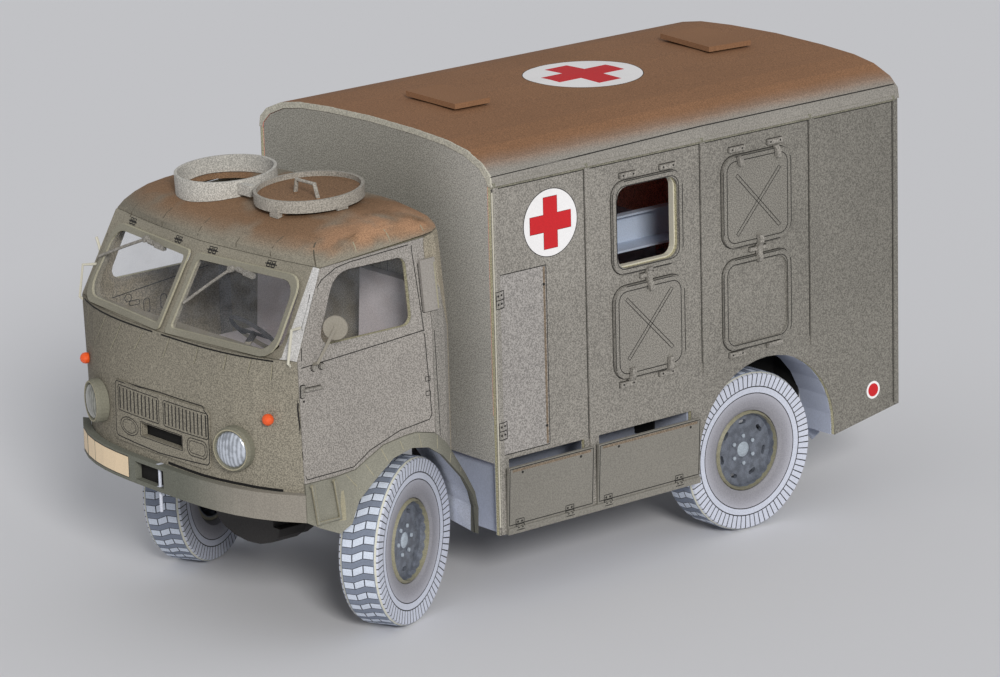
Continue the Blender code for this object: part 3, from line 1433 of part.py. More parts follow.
def build_locker(name, side):
    """A tray behind the flaps, with a rounded inner lower corner."""
    x_out = BOX_HALF_WIDTH - CARD - SEAM
    x_in = x_out - LOCKER_DEPTH
    base = SKIRT_Z
    top = BOX_FLOOR_Z - SEAM
    y0 = BOX_FRONT_Y + CARD + SEAM
    y1 = ARCH_Y - ARCH_RADIUS - LOCKER_CLEARANCE
    outer = filleted([(x_out, top, 0), (x_in, top, 0), (x_in, base, LOCKER_CORNER), (x_out, base, 0)])
    tray = to_object(f"locker_{name}", prism([(side * x, z) for x, z in outer], "Y", y0, y1), "card_grey")
    inner = filleted(
        [
            (x_out + OVERRUN, top + OVERRUN, 0),
            (x_in + THIN_CARD, top + OVERRUN, 0),
            (x_in + THIN_CARD, base + THIN_CARD, LOCKER_CORNER - THIN_CARD),
            (x_out + OVERRUN, base + THIN_CARD, 0),
        ]
    )
    cut(
        tray,
        helper(prism([(side * x, z) for x, z in inner], "Y", y0 + THIN_CARD, y1 - THIN_CARD)),
    )


def build_bench():
    wall = BOX_HALF_WIDTH - CARD - SEAM * 2
    base = BOX_FLOOR_Z + CARD + SEAM
    outline = [
        (-wall, base),
        (-wall + BENCH_WIDTH, base),
        (-wall + BENCH_WIDTH, base + BENCH_HEIGHT),
        (-wall + CARD * 2, base + BENCH_HEIGHT),
        (-wall + CARD * 2, base + BENCH_HEIGHT + BENCH_BACK),
        (-wall, base + BENCH_HEIGHT + BENCH_BACK),
    ]
    to_object(
        "bench",
        prism(outline, "Y", BOX_FRONT_Y + CARD + SEAM, BOX_REAR_Y - CARD - SEAM - BENCH_WIDTH),
        "card_grey",
    )


def build_roof_vent(name):
    """A flat lid on a low collar, set a little askew on the roof."""
    share, *across_shares, turn_deg = VENT_LID_SHARES[name]
    x, width, length = (BOX_HALF_WIDTH * part for part in across_shares)
    y = BOX_FRONT_Y + BOX_LENGTH * share
    base = EAVE_Z + ROOF_RISE + VENT_LID_GAP
    turn = Matrix.Rotation(radians(turn_deg), 3, "Z")

    def slab(inset, low, high):
        solid = block(
            -width / 2 + inset, width / 2 - inset, -length / 2 + inset, length / 2 - inset, low, high
        )
        for vert in solid.verts:
            vert.co = turn @ vert.co + Vector((x, y, 0))
        return solid

    lid = to_object(f"roof_vent_{name}", slab(0, base, base + VENT_LID_HEIGHT), "card_olive")
    join(lid, helper(slab(CARD, base - CARD, base + SEAM)))
    crown = roof_outline(-SEAM, 0)
    cut(lid, helper(prism(crown, "Y", y - length, y + length)))


def main():
    clear_scene()
    build_running_gear()
    build_chassis()
    build_cab()
    build_screens()
    build_fenders()
    build_cab_fittings()
    build_box()


main()
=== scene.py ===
"""The looks of the card scale model of a military ambulance truck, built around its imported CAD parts."""

from math import cos, hypot, pi, radians, sin

import bpy
from mathutils import Matrix, Vector
from mathutils.bvhtree import BVHTree
from mathutils.geometry import tessellate_polygon


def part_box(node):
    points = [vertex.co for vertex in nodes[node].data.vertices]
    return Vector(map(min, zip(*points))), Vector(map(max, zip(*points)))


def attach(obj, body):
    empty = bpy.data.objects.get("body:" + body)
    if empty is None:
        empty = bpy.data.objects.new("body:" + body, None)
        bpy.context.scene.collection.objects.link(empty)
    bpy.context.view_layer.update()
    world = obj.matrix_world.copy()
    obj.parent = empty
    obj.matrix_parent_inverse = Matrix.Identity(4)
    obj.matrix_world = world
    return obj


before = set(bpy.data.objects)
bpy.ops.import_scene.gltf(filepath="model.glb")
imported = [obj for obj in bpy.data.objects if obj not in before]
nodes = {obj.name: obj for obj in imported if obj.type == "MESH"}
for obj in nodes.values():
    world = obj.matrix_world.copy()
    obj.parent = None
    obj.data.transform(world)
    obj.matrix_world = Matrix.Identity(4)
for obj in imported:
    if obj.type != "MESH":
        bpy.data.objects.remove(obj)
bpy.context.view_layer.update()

scene = bpy.context.scene
scene.view_settings.view_transform = "Standard"

# Sizes and places are in millimetres, with x to the truck's left, y to its rear and z up
MM = 0.001
CARD = 1.0
AXLE_Y = -45.25
TYRE_RADIUS = 15.5
STEER_DEG = 26
# Columns: wheel, x and y of its centre, turn of its axle in degrees, side
WHEELS = (
    ("front_left", 27.705, -43.54, STEER_DEG, 1),
    ("front_right", -27.705, -46.96, STEER_DEG, -1),
    ("rear_left", 28.1, 39.15, 0, 1),
    ("rear_right", -28.1, 39.15, 0, -1),
)

BOX_SIDE_X = 34.4
CAB_SIDE_X = 32.8
BOX_FRONT_Y, BOX_REAR_Y = -24.55, 75.85
BOX_FLOOR_Z, EAVE_Z, BELT_Z = 36.0, 78.8, 54.6
CAB_LEAN = 0.124  # how far the cab's side goes inward for each unit of height over the belt
RIB_Y = (-23.75, -2.20, 25.85, 53.25, 75.05)
RIB_WIDTH, RIB_LINE_GAP = 1.1, 0.12
RIB_FEET = ((24, 27.2), (59, 36.2), (BOX_REAR_Y, 18.6))  # foot of each line ahead of a place
WINDOW_Y, WINDOW_Z = (12.10, 39.10), (65.8, 45.9)
WINDOW_WIDTH, WINDOW_HEIGHT = 17.2, 17.7
WINDOW_FRAME, WINDOW_CORNER = 1.1, 3.0
WINDOW_LINES = (-0.1, 0.12, WINDOW_FRAME - 0.1)
SIDE_CROSS = (-10.9, 69.9, 6.3)
ROOF_CROSS = (0.3, 26.2, 11.5)

# How a mark lies on the card: widths of ink lines, rise over the card, depth in it, length of a step
FAINT, HAIR, FINE, THIN, INK_WIDTH, BOLD, HEAVY = 0.07, 0.12, 0.14, 0.16, 0.17, 0.2, 0.22
INK_RISE, DOT_RISE, PRINT_RISE, SUNK, STEP = 0.02, 0.03, 0.012, 0.04, 0.8

# 0 to 255
TONES = {
    "olive": (143, 139, 132),
    # The box side's olive darkened towards the rear: painted shade. The locker flaps take it, lightened, as
    # their own tone.
    "olive_rear_shade": (120, 117, 110),
    "door_panel": (154, 150, 146),
    "front_wall": (154, 151, 142),
    "cab_olive": (142, 136, 122),
    "cab_side": (152, 147, 141),
    "cab_back": (138, 134, 128),
    # The nose's darkening towards its right corner: painted shade.
    "nose_shade": (122, 116, 103),
    # The pale pillar: partly pale card, partly a painted highlight.
    "pillar": (206, 204, 202),
    # The front wall's lighter left corner: painted light.
    "front_wall_lit_corner": (176, 173, 166),
    "bumper": (112, 113, 103),
    "bumper_light": (148, 142, 132),
    # The fender's darkening to the rear: painted shade.
    "fender_rear_shade": (104, 103, 94),
    "lid": (160, 155, 146),
    "liner": (200, 205, 218),
    "green": (124, 122, 108),
    "fender": (138, 136, 124),
    "brown": (141, 104, 76),
    "cab_brown": (132, 103, 78),
    "grey": (172, 178, 194),
    "pale": (208, 204, 188),
    "edge": (190, 186, 172),
    "cream": (240, 216, 182),
    "seam": (160, 154, 132),
    # The lighter brown at the cab roof's left edge: painted highlight.
    "cab_roof_highlight": (170, 132, 102),
    "bunk": (190, 202, 220),
    "ring": (184, 181, 174),
    "reveal": (182, 176, 146),
    "frame_face": (140, 136, 122),
    "frame_edge": (176, 171, 150),
    "mirror": (152, 146, 134),
    "pin": (206, 210, 222),
    "disc": (98, 103, 113),
    "inside": (224, 215, 216),
    "inside_olive": (150, 142, 126),
    "box_inside": (236, 168, 152),
    # Dark card for undersides, insides and the steering wheel; on the undersides and insides it is painted
    # shade.
    "under": (60, 58, 57),
    "ink": (34, 32, 29),
    "soft": (92, 86, 74),
    "rust": (126, 112, 96),
    "white": (238, 236, 236),
    "red": (200, 24, 32),
    "orange": (236, 92, 36),
    "film": (200, 205, 215),
    # The left lens is written lighter than the right one, though the lenses are alike: painted light and
    # reflection.
    "lens_left": (200, 206, 216),
    "lens_right": (148, 148, 138),
    "disc_rim": (138, 134, 112),
    "disc_hub": (166, 176, 186),
    "tyre_inner": (142, 141, 147),
    "tyre_middle": (186, 186, 196),
    "tyre_outer": (200, 204, 217),
    "tyre_mark": (34, 33, 34),
    "tyre_shoulder": (206, 205, 192),
    "tread_groove": (128, 136, 152),
    "tread_block": (212, 220, 234),
    "tread_outline": (62, 66, 76),
    "floor": (226, 226, 229),
}

# Columns: scale, detail and shift of the noise
NOISES = {
    "grain": (4200, 1.0, 0.0),
    "patches": (40, 3.0, 0.3),
    "fibres": (900, 4.0, 0.7),
    "cab_brown": (85, 2.0, 0.9),
    "cab_roof_highlight": (160, 3.0, 0.0),
    "roof_brown": (60, 4.0, 0.5),
    "roof_edge": (900, 2.0, 0.0),
    "mottle": (700, 3.0, 0.0),
    "haze": (300, 3.0, 0.0),
}


def place_camera():
    """The photograph's viewpoint."""
    yaw, elevation, roll = radians(50.994), radians(15.525), radians(1.516)
    back = Vector((sin(yaw) * cos(elevation), -cos(yaw) * cos(elevation), sin(elevation)))
    right = Vector((cos(yaw), sin(yaw), 0))
    up = back.cross(right)
    tilted_right = right * cos(roll) - up * sin(roll)
    tilted_up = right * sin(roll) + up * cos(roll)
    data = bpy.data.cameras.new("camera")
    data.lens = 178.6
    data.sensor_width = 36
    data.clip_start = 0.05
    data.clip_end = 20
    camera = bpy.data.objects.new("camera", data)
    turn = Matrix((tilted_right, tilted_up, back)).transposed()
    camera.matrix_world = Matrix.Translation((0.70454, -0.56611, 0.29009)) @ turn.to_4x4()
    scene.collection.objects.link(camera)
    scene.camera = camera


def linear(tone, level=1.0):
    """A named tone as a linear colour."""
    parts = []
    for value in TONES[tone]:
        value = value / 255
        parts.append(level * (value / 12.92 if value <= 0.04045 else ((value + 0.055) / 1.055) ** 2.4))
    return (*parts, 1.0)


class Shader:
    """A Principled material and short calls for the nodes that feed it."""

    def __init__(self, name, roughness=0.85):
        self.material = bpy.data.materials.new(name)
        self.material.use_nodes = True
        self.tree = self.material.node_tree
        self.surface = self.tree.nodes["Principled BSDF"]
        self.set(Roughness=roughness)
        self.place = self.make("TexCoord").outputs["Object"]
        self.x, self.y, self.z = self.make("SeparateXYZ", Vector=self.place).outputs

    def make(self, kind, settings=None, **inputs):
        made = self.tree.nodes.new("ShaderNode" + kind)
        for key, value in (settings or {}).items():
            setattr(made, key, value)
        for key, value in inputs.items():
            self.feed(made.inputs[key.replace("_", " ")], value)
        return made

    def feed(self, socket, value):
        if isinstance(value, bpy.types.NodeSocket):
            self.tree.links.new(value, socket)
        else:
            socket.default_value = value

    def set(self, **inputs):
        for key, value in inputs.items():
            self.feed(self.surface.inputs[key.replace("_", " ")], value)

    def math(self, operation, *values):
        made = self.make("Math", {"operation": operation})
        for socket, value in zip(made.inputs, values):
            self.feed(socket, value)
        return made.outputs[0]

    def above(self, value, limit):
        return self.math("GREATER_THAN", value, limit)

    def below(self, value, limit):
        return self.math("LESS_THAN", value, limit)

    def near(self, value, place, width):
        return self.below(self.math("ABSOLUTE", self.math("SUBTRACT", value, place)), width / 2)

    def times(self, *values):
        result = values[0]
        for value in values[1:]:
            result = self.math("MULTIPLY", result, value)
        return result

    def across(self):
        """The distance from the truck's middle plane."""
        return self.math("ABSOLUTE", self.x)

    def vector(self, operation, *values):
        made = self.make("VectorMath", {"operation": operation})
        for socket, value in zip(made.inputs, values):
            self.feed(socket, value)
        return made.outputs["Value" if operation in ("DOT_PRODUCT", "LENGTH") else "Vector"]

    def noise(self, name):
        scale, detail, shift = NOISES[name]
        place = self.vector("ADD", self.place, (shift, shift, shift)) if shift else self.place
        return self.make("TexNoise", Vector=place, Scale=scale, Detail=detail).outputs["Fac"]

    def ramp(self, value, start, end, to_start=0.0, to_end=1.0):
        names = {"From_Min": start, "From_Max": end, "To_Min": to_start, "To_Max": to_end}
        return self.make("MapRange", {"interpolation_type": "SMOOTHSTEP"}, Value=value, **names).outputs[0]

    def fade(self, value, places):
        """0 at the first place and 1 at the second."""
        return self.ramp(value, places[0] * MM, places[1] * MM)

    def mix(self, share, first, second):
        made = self.make("Mix", {"data_type": "RGBA"})
        for index, value in ((0, share), (6, first), (7, second)):
            self.feed(made.inputs[index], value)
        return made.outputs[2]

    def scaled(self, colour, factor):
        made = self.make("VectorMath", {"operation": "SCALE"})
        self.feed(made.inputs[0], colour if isinstance(colour, bpy.types.NodeSocket) else colour[:3])
        self.feed(made.inputs["Scale"], factor)
        return made.outputs[0]

    def within(self, *limits):
        """1 where each socket lies between the two places that follow it."""
        masks = []
        for index in range(0, len(limits), 3):
            value, start, end = limits[index:index + 3]
            masks += [self.above(value, start * MM), self.below(value, end * MM)]
        return self.times(*masks)

    def facing(self, direction, limit):
        """1 where the surface looks along a direction."""
        normal = self.make("TexCoord").outputs["Normal"]
        return self.above(self.vector("DOT_PRODUCT", normal, Vector(direction)), limit)

    def grainy(self, colour, grain, patches):
        """The colour with the fine grain of a print and broad uneven patches."""
        fine = self.ramp(self.noise("grain"), 0.3, 0.7, 1 - grain, 1 + grain)
        broad = self.ramp(self.noise("patches"), 0.3, 0.7, 1 - patches, 1 + patches)
        return self.scaled(colour, self.times(fine, broad))

    def fibres(self, strength=0.12):
        bump = self.make("Bump", Strength=strength, Distance=0.0001, Height=self.noise("fibres"))
        self.set(Normal=bump.outputs[0])


def card(name, tone, grain=0.34, patches=0.06, roughness=0.85, level=1.0, regions=None):
    """Printed card. regions gives further tones with the socket that says where each lies."""
    shader = Shader(name, roughness)
    colour = linear(tone, level)
    for other, where in regions(shader) if regions else ():
        colour = shader.mix(where, colour, linear(other, level))
    shader.set(Base_Color=shader.grainy(colour, grain, patches), Specular_IOR_Level=0.25)
    shader.fibres()
    return shader.material


# Where the tones of the printed card change
PRINT_DEPTH, INNER_SLACK = 0.14, 0.1
NOSE_SHADE_X = (6, -28)
CAB_BROWN_Z, CAB_HIGHLIGHT_X = (70.6, 74.0), (18, 29)
CAB_INSIDE_X, CAB_INSIDE_Y = 31.5, -31.9
PILLAR_X = 29.3
WALL_LIT_CORNER_X = (10, 32)
ROOF_BROWN_Z = (81.6, 84.6)
ROOF_BROWN_DRIFT, ROOF_EDGE_DRIFT = 1.2, -0.5
LID_CENTRE, LID_TILT_DEG = (8.8, -45.85, 76.2), 3.5
LID_DISC_RADIUS, LID_DISC_TOP = 9.45, 1.5
FRAME_FACING = (0, -0.94, 0.34)
DASHBOARD_TOP_Z = 54.6
BOX_LINER_X = 25.3
FENDER_SHADE_Y, FENDER_LINER_DEPTH = (-44, -31), 1.6
WIRE_STEP_REACH, WIRE_STEP_Y, WIRE_STEP_Z = (0.62, 1.2), (-68, -59.1), (24, 32)
BUMPER_LIGHT_X = (6, 28)
BUMPER_PIN_X, BUMPER_PIN_Y = (-0.15, 0.75), (-76.0, -73.0)


def wall_tones(shader, face, inside, lean=0.0):
    """A side wall is pale where it is cut, and inside it has another tone."""
    over_belt = shader.math("MAXIMUM", shader.math("SUBTRACT", shader.z, BELT_Z * MM), 0.0)
    reach = shader.math("ADD", shader.across(), shader.times(over_belt, lean))
    return [
        ("reveal", shader.below(reach, (face - PRINT_DEPTH) * MM)),
        (inside, shader.below(reach, (face - CARD + INNER_SLACK) * MM)),
    ]


def box_side_tones(shader):
    """Darker towards the rear as a painted shade, with a lighter tall door, and blue grey inside below the
    floor.
    """
    y0, y1, z0, z1 = TALL_DOOR
    behind = shader.below(shader.across(), (BOX_SIDE_X - CARD + INNER_SLACK) * MM)
    return [
        ("olive_rear_shade", shader.fade(shader.y, (BOX_FRONT_Y, BOX_REAR_Y))),
        ("door_panel", shader.within(shader.y, y0, y1, shader.z, z0, z1)),
        *wall_tones(shader, BOX_SIDE_X, "box_inside"),
        ("grey", shader.times(behind, shader.below(shader.z, BOX_FLOOR_Z * MM))),
    ]


def cab_side_tones(shader):
    return wall_tones(shader, CAB_SIDE_X, "inside_olive", CAB_LEAN)


def nose_tones(shader):
    """The cab's front darkens towards its right corner, which turns away from the light: a painted shade.
    """
    return [("nose_shade", shader.fade(shader.x, NOSE_SHADE_X))]


def cab_roof_tones(shader):
    """Brown sprayed in patches round the hatches and olive at the front, darker towards the right corner as
    painted shade, with a lighter brown painted highlight in patches towards the left edge and a dark
    painted shade inside.
    """
    height = shader.fade(shader.z, CAB_BROWN_Z)
    cloud = shader.ramp(shader.noise("cab_brown"), 0.29, 0.52)
    beside = shader.fade(shader.x, CAB_HIGHLIGHT_X)
    return nose_tones(shader) + [
        ("cab_brown", shader.times(height, cloud)),
        ("cab_roof_highlight", shader.times(beside, height, shader.ramp(shader.noise("cab_roof_highlight"), 0.35, 0.6))),
        ("under", shader.facing((0, 0, -1), 0.3)),
    ]


def cab_rear_tones(shader):
    """The cab's rear wall is another olive inside."""
    ahead = shader.below(shader.y, CAB_INSIDE_Y * MM)
    return [("inside_olive", shader.times(ahead, shader.below(shader.across(), CAB_INSIDE_X * MM)))]


def surround_tones(shader):
    """The pillar beside the left windscreen is pale, partly pale card and partly a painted highlight, and
    the card inside is dark as a painted shade.
    """
    beside = shader.above(shader.x, PILLAR_X * MM)
    return [("pillar", beside), ("under", shader.facing((0, 1, 0), 0.4))]


def front_wall_tones(shader):
    """The box's front wall is a little lighter towards its left corner, a painted light, and red brown
    inside.
    """
    return [
        ("front_wall_lit_corner", shader.fade(shader.x, WALL_LIT_CORNER_X)),
        ("box_inside", shader.above(shader.y, (BOX_FRONT_Y + CARD / 2) * MM)),
    ]


def rear_doors_tones(shader):
    """The box's rear wall is red brown inside."""
    return [("box_inside", shader.below(shader.y, (BOX_REAR_Y - CARD / 2) * MM))]


def box_roof_tones(shader):
    """Brown above, olive along the eaves, pale along the worn front edge, red brown inside."""
    cloud = shader.times(shader.noise("roof_brown"), ROOF_BROWN_DRIFT * MM)
    height = shader.math("ADD", shader.z, cloud)
    worn = shader.math("ADD", shader.y, shader.times(shader.noise("roof_edge"), ROOF_EDGE_DRIFT * MM))
    return [
        ("brown", shader.fade(height, ROOF_BROWN_Z)),
        ("edge", shader.below(worn, BOX_FRONT_Y * MM)),
        ("box_inside", shader.facing((0, 0, -1), 0.3)),
    ]


def lid_tones(shader):
    """The disc sunk in the lid's pale rim is brown."""
    tilt = radians(LID_TILT_DEG)
    axis = Vector((0, -sin(tilt), cos(tilt)))
    local = shader.vector("SUBTRACT", shader.place, Vector(LID_CENTRE) * MM)
    reach = shader.vector("LENGTH", shader.vector("CROSS_PRODUCT", local, axis))
    depth = shader.vector("DOT_PRODUCT", local, axis)
    in_rim = shader.below(reach, LID_DISC_RADIUS * MM)
    return [("cab_brown", shader.times(in_rim, shader.below(depth, LID_DISC_TOP * MM)))]


def frame_tones(shader):
    """Olive faces and pale edges."""
    return [("frame_face", shader.facing(FRAME_FACING, 0.8))]


def dashboard_tones(shader):
    """The steering wheel over the dashboard is dark."""
    return [("under", shader.above(shader.z, DASHBOARD_TOP_Z * MM))]


def floor_tones(shader):
    """The floor's underside is dark as a painted shade; only the liners at the sides are pale."""
    return [("under", shader.below(shader.across(), BOX_LINER_X * MM))]


def fender_tones(shader):
    """The fender darkens to the rear as a painted shade. Its liner is light blue grey, and its wire step
    pale.
    """
    reach = shader.across()
    wire = [CAB_SIDE_X + place for place in WIRE_STEP_REACH]
    step = shader.within(reach, *wire, shader.y, *WIRE_STEP_Y, shader.z, *WIRE_STEP_Z)
    return [
        ("fender_rear_shade", shader.fade(shader.y, FENDER_SHADE_Y)),
        ("liner", shader.below(reach, (CAB_SIDE_X - FENDER_LINER_DEPTH) * MM)),
        ("seam", step),
    ]


def bumper_tones(shader):
    """The bumper is lighter towards its left end, and the pin in its slot is bright."""
    pin = shader.within(shader.x, *BUMPER_PIN_X, shader.y, *BUMPER_PIN_Y)
    return [("bumper_light", shader.fade(shader.x, BUMPER_LIGHT_X)), ("pin", pin)]


# Printed marks round a tyre. The middle column is a share of the tread's half width, and a ring is
# a radius with the width of its line
SIDE_MARKS, SIDE_MARK_SHARE = 75, 0.17
SIDE_SHADE = (8.6, 13.0)
OUTER_RING, INNER_RING = (12.6, 0.2), (11.3, 0.18)
TREAD_ROWS, TREAD_HALF, TREAD_RADIUS = 36, 3.3, 13.5
TREAD_MIDDLE, TREAD_SLANT = 0.33, 0.55
SHOULDER_RADIUS = 14.6
DISC_RIM_RADIUS, DISC_HUB_RADIUS, DISC_HUB_DEPTH = 7.15, 4.2, 1.85


def tyre(name, centre, outward):
    """A tyre of printed card: radial marks on its sides and white blocks on its tread."""
    shader = Shader(name, 0.8)
    local = shader.vector("SUBTRACT", shader.place, centre * MM)
    upright = Vector((0, 0, 1))
    along, across, upward = (
        shader.math("DIVIDE", shader.vector("DOT_PRODUCT", local, axis), MM)
        for axis in (outward, upright.cross(outward), upright)
    )
    squares = [shader.math("POWER", value, 2) for value in (across, upward)]
    reach = shader.math("SQRT", shader.math("ADD", *squares))
    turn = shader.math("DIVIDE", shader.math("ARCTAN2", upward, across), 2 * pi)
    half = shader.math("ABSOLUTE", along)
    above, below, near, both = shader.above, shader.below, shader.near, shader.times

    def cells(count, shift=0.0):
        return shader.math("FRACT", shader.math("ADD", shader.times(turn, count), shift))

    def either(first, second):
        return shader.math("MAXIMUM", first, second)

    # Three slanting columns of blocks, each with a dark outline
    share = shader.math("DIVIDE", along, TREAD_HALF)
    slant = shader.make("Clamp", Value=share, Min=-TREAD_MIDDLE, Max=TREAD_MIDDLE).outputs[0]
    row = cells(TREAD_ROWS, shader.times(slant, TREAD_SLANT))
    phase = shader.math("ABSOLUTE", shader.math("SUBTRACT", row, 0.5))
    column = near(shader.math("ABSOLUTE", share), TREAD_MIDDLE, 0.07)
    block = both(below(phase, 0.25), below(half, TREAD_HALF * 0.93), below(column, 0.5))
    rim = either(near(phase, 0.27, 0.05), both(column, below(phase, 0.27)))
    outline = both(rim, below(half, TREAD_HALF * 0.95))
    band = shader.mix(block, linear("tread_groove"), linear("tread_block"))
    band = shader.mix(outline, band, linear("tread_outline"))

    # The side is shaded, with two rings and radial marks from the outer ring to the edge
    side = shader.mix(shader.ramp(reach, *SIDE_SHADE), linear("tyre_inner"), linear("tyre_middle"))
    side = shader.mix(above(reach, INNER_RING[0]), side, linear("tyre_outer"))
    lug = both(above(reach, OUTER_RING[0]), below(cells(SIDE_MARKS), SIDE_MARK_SHARE))
    rings = either(near(reach, *OUTER_RING), near(reach, *INNER_RING))
    side = shader.mix(either(lug, rings), side, linear("tyre_mark"))

    tread = both(below(half, TREAD_HALF), above(reach, TREAD_RADIUS))
    colour = shader.mix(tread, side, band)
    edge = both(above(half, TREAD_HALF * 0.98), below(half, TREAD_HALF * 1.08))
    colour = shader.mix(both(edge, above(reach, SHOULDER_RADIUS)), colour, linear("tyre_shoulder"))
    shader.set(Base_Color=shader.grainy(colour, 0.07, 0.05), Specular_IOR_Level=0.3)
    shader.fibres(0.08)
    return shader.material


def wheel_disc(name, centre, outward):
    """A mottled blue grey satin disc in an olive rim, with a pale hub."""
    shader = Shader(name, 0.45)
    local = shader.vector("SUBTRACT", shader.place, centre * MM)
    reach = shader.vector("LENGTH", shader.vector("CROSS_PRODUCT", local, outward))
    depth = shader.vector("DOT_PRODUCT", local, outward)
    mottle = shader.ramp(shader.noise("mottle"), 0.35, 0.65)
    colour = shader.mix(mottle, linear("disc", 0.8), linear("disc", 1.25))
    colour = shader.mix(shader.above(reach, DISC_RIM_RADIUS * MM), colour, linear("disc_rim"))
    front = shader.above(depth, DISC_HUB_DEPTH * MM)
    hub = shader.times(front, shader.below(reach, DISC_HUB_RADIUS * MM))
    colour = shader.mix(hub, colour, linear("disc_hub"))
    shader.set(Base_Color=shader.grainy(colour, 0.12, 0.12), Specular_IOR_Level=0.5)
    shader.fibres(0.2)
    return shader.material


def plain(name, tone, roughness=0.6, grain=0.06, patches=0.05, level=1.0):
    shader = Shader(name, roughness)
    shader.set(Base_Color=shader.grainy(linear(tone, level), grain, patches))
    return shader.material


def film(name):
    """Thin clear film with a faint haze."""
    shader = Shader(name, 0.08)
    haze = shader.ramp(shader.noise("haze"), 0.3, 0.7, 0.02, 0.05)
    shader.set(Base_Color=linear("film"), Alpha=haze, IOR=1.3)
    return shader.material


def lens_glass(name, tone, roughness):
    """A clear lamp lens over a crumpled silver lining."""
    shader = Shader(name, roughness)
    bands = {"bands_direction": "X"}
    flutes = shader.make("TexWave", bands, Vector=shader.place, Scale=420.0, Distortion=0.6).outputs["Fac"]
    mottle = shader.times(shader.noise("mottle"), shader.ramp(flutes, 0.0, 1.0, 0.7, 1.15))
    colour = shader.mix(shader.ramp(mottle, 0.28, 0.62), linear(tone, 0.5), linear(tone, 1.05))
    shader.set(Base_Color=colour, Metallic=0.3, Coat_Weight=0.6, Coat_Roughness=0.08)
    bump = shader.make("Bump", Strength=0.5, Distance=0.0001, Height=mottle)
    shader.set(Normal=bump.outputs[0])
    return shader.material


def dress(material, *names):
    """Gives every CAD node whose name starts with one of these names that material."""
    for name, piece in nodes.items():
        if any(name == start or name.startswith(start + "_") for start in names):
            piece.material_slots[0].material = material


MATERIALS = {
    "ink": plain("ink", "ink", 0.8, 0.15),
    "edge": card("card_edge", "edge", 0.08, 0.06),
    "green": card("card_green", "green"),
    "olive": card("card_olive", "olive"),
    "pale": card("card_pale", "pale", 0.05, 0.08, 0.6),
    "cream": card("cream_plate", "cream", 0.05, 0.04, 0.6),
    "seam": card("seam_edge", "seam", 0.1, 0.1),
    "soft": card("soft_seam", "soft", 0.2, 0.1),
    "dark": plain("painted_shade_card", "ink", 0.9, 0.1, level=0.25),
    "rust": card("rust_wash", "rust"),
    "white": plain("white_print", "white", 0.75, 0.03),
    "red": plain("red_print", "red", 0.7, 0.05),
    "under": card("underside_shade_card", "under", 0.12, 0.15, 0.7),
    "bunk": card("bunk_card", "bunk", 0.06, 0.08),
}


def dress_nodes():
    dress(card("box_wall", "olive", regions=box_side_tones), "box_side")
    dress(card("box_front", "front_wall", regions=front_wall_tones), "box_front_wall")
    dress(card("box_rear", "olive", regions=rear_doors_tones), "box_rear_wall")
    dress(card("box_roof", "olive", 0.22, 0.05, regions=box_roof_tones), "box_roof")
    dress(card("vent_card", "brown", 0.12), "roof_vent")
    dress(card("cab_card", "cab_olive", regions=nose_tones), "cab_front", "grille_panel")
    dress(card("surround_card", "cab_olive", 0.2, regions=surround_tones), "windscreen_surround")
    dress(card("cab_wall", "cab_side", regions=cab_side_tones), "cab_side")
    dress(card("cab_rear", "cab_back", regions=cab_rear_tones), "cab_rear_wall")
    dress(card("cab_roof", "cab_olive", 0.22, regions=cab_roof_tones), "cab_roof")
    dress(card("ring_card", "ring", 0.3, 0.12), "hatch_ring")
    dress(card("lid_card", "lid", 0.3, 0.12, regions=lid_tones), "hatch_lid")
    dress(card("flap_card", "olive_rear_shade", 0.15, level=1.18), "locker_flaps")
    dress(card("fender_card", "fender", 0.12, regions=fender_tones), "fender")
    dress(card("bumper_card", "bumper", 0.12, regions=bumper_tones), "bumper")
    dress(card("duct_card", "cab_side", 0.12), "duct_box")
    dress(card("frame_card", "frame_edge", 0.1, 0.08, regions=frame_tones), "windscreen_frame")
    dress(card("floor_card", "grey", 0.06, 0.1, regions=floor_tones), "box_floor")
    dress(card("liner_card", "grey", 0.06, 0.1), "locker_left", "locker_right", "bench", "exhaust_pipe")
    dress(card("seat_card", "inside", 0.1, 0.08), "seat")
    dress(card("dash_card", "inside_olive", 0.1, 0.1, regions=dashboard_tones), "dashboard", "cab_floor")
    # The parts under the truck are dark card: painted shade.
    dress(MATERIALS["under"], "backbone_tube", "frame_rails", "front_axle", "rear_axle", "engine_block")
    dress(MATERIALS["under"], "knuckle")
    dress(card("mirror_card", "mirror", 0.08), "mirror_left")
    dress(MATERIALS["pale"], "grab_handle", "marker_rod")
    dress(plain("ball", "orange", 0.25, 0.03), "indicator")
    dress(card("lamp_card", "green", 0.1), "headlight")
    dress(film("film"), "windscreen_pane", "side_pane")
    for name, x, y, turn_deg, way in WHEELS:
        centre = Vector((x, y, TYRE_RADIUS))
        outward = Vector((cos(radians(turn_deg)), sin(radians(turn_deg)), 0)) * way
        dress(tyre(f"tyre_{name}", centre, outward), f"tyre_{name}")
        dress(wheel_disc(f"disc_{name}", centre, outward), f"wheel_{name}")


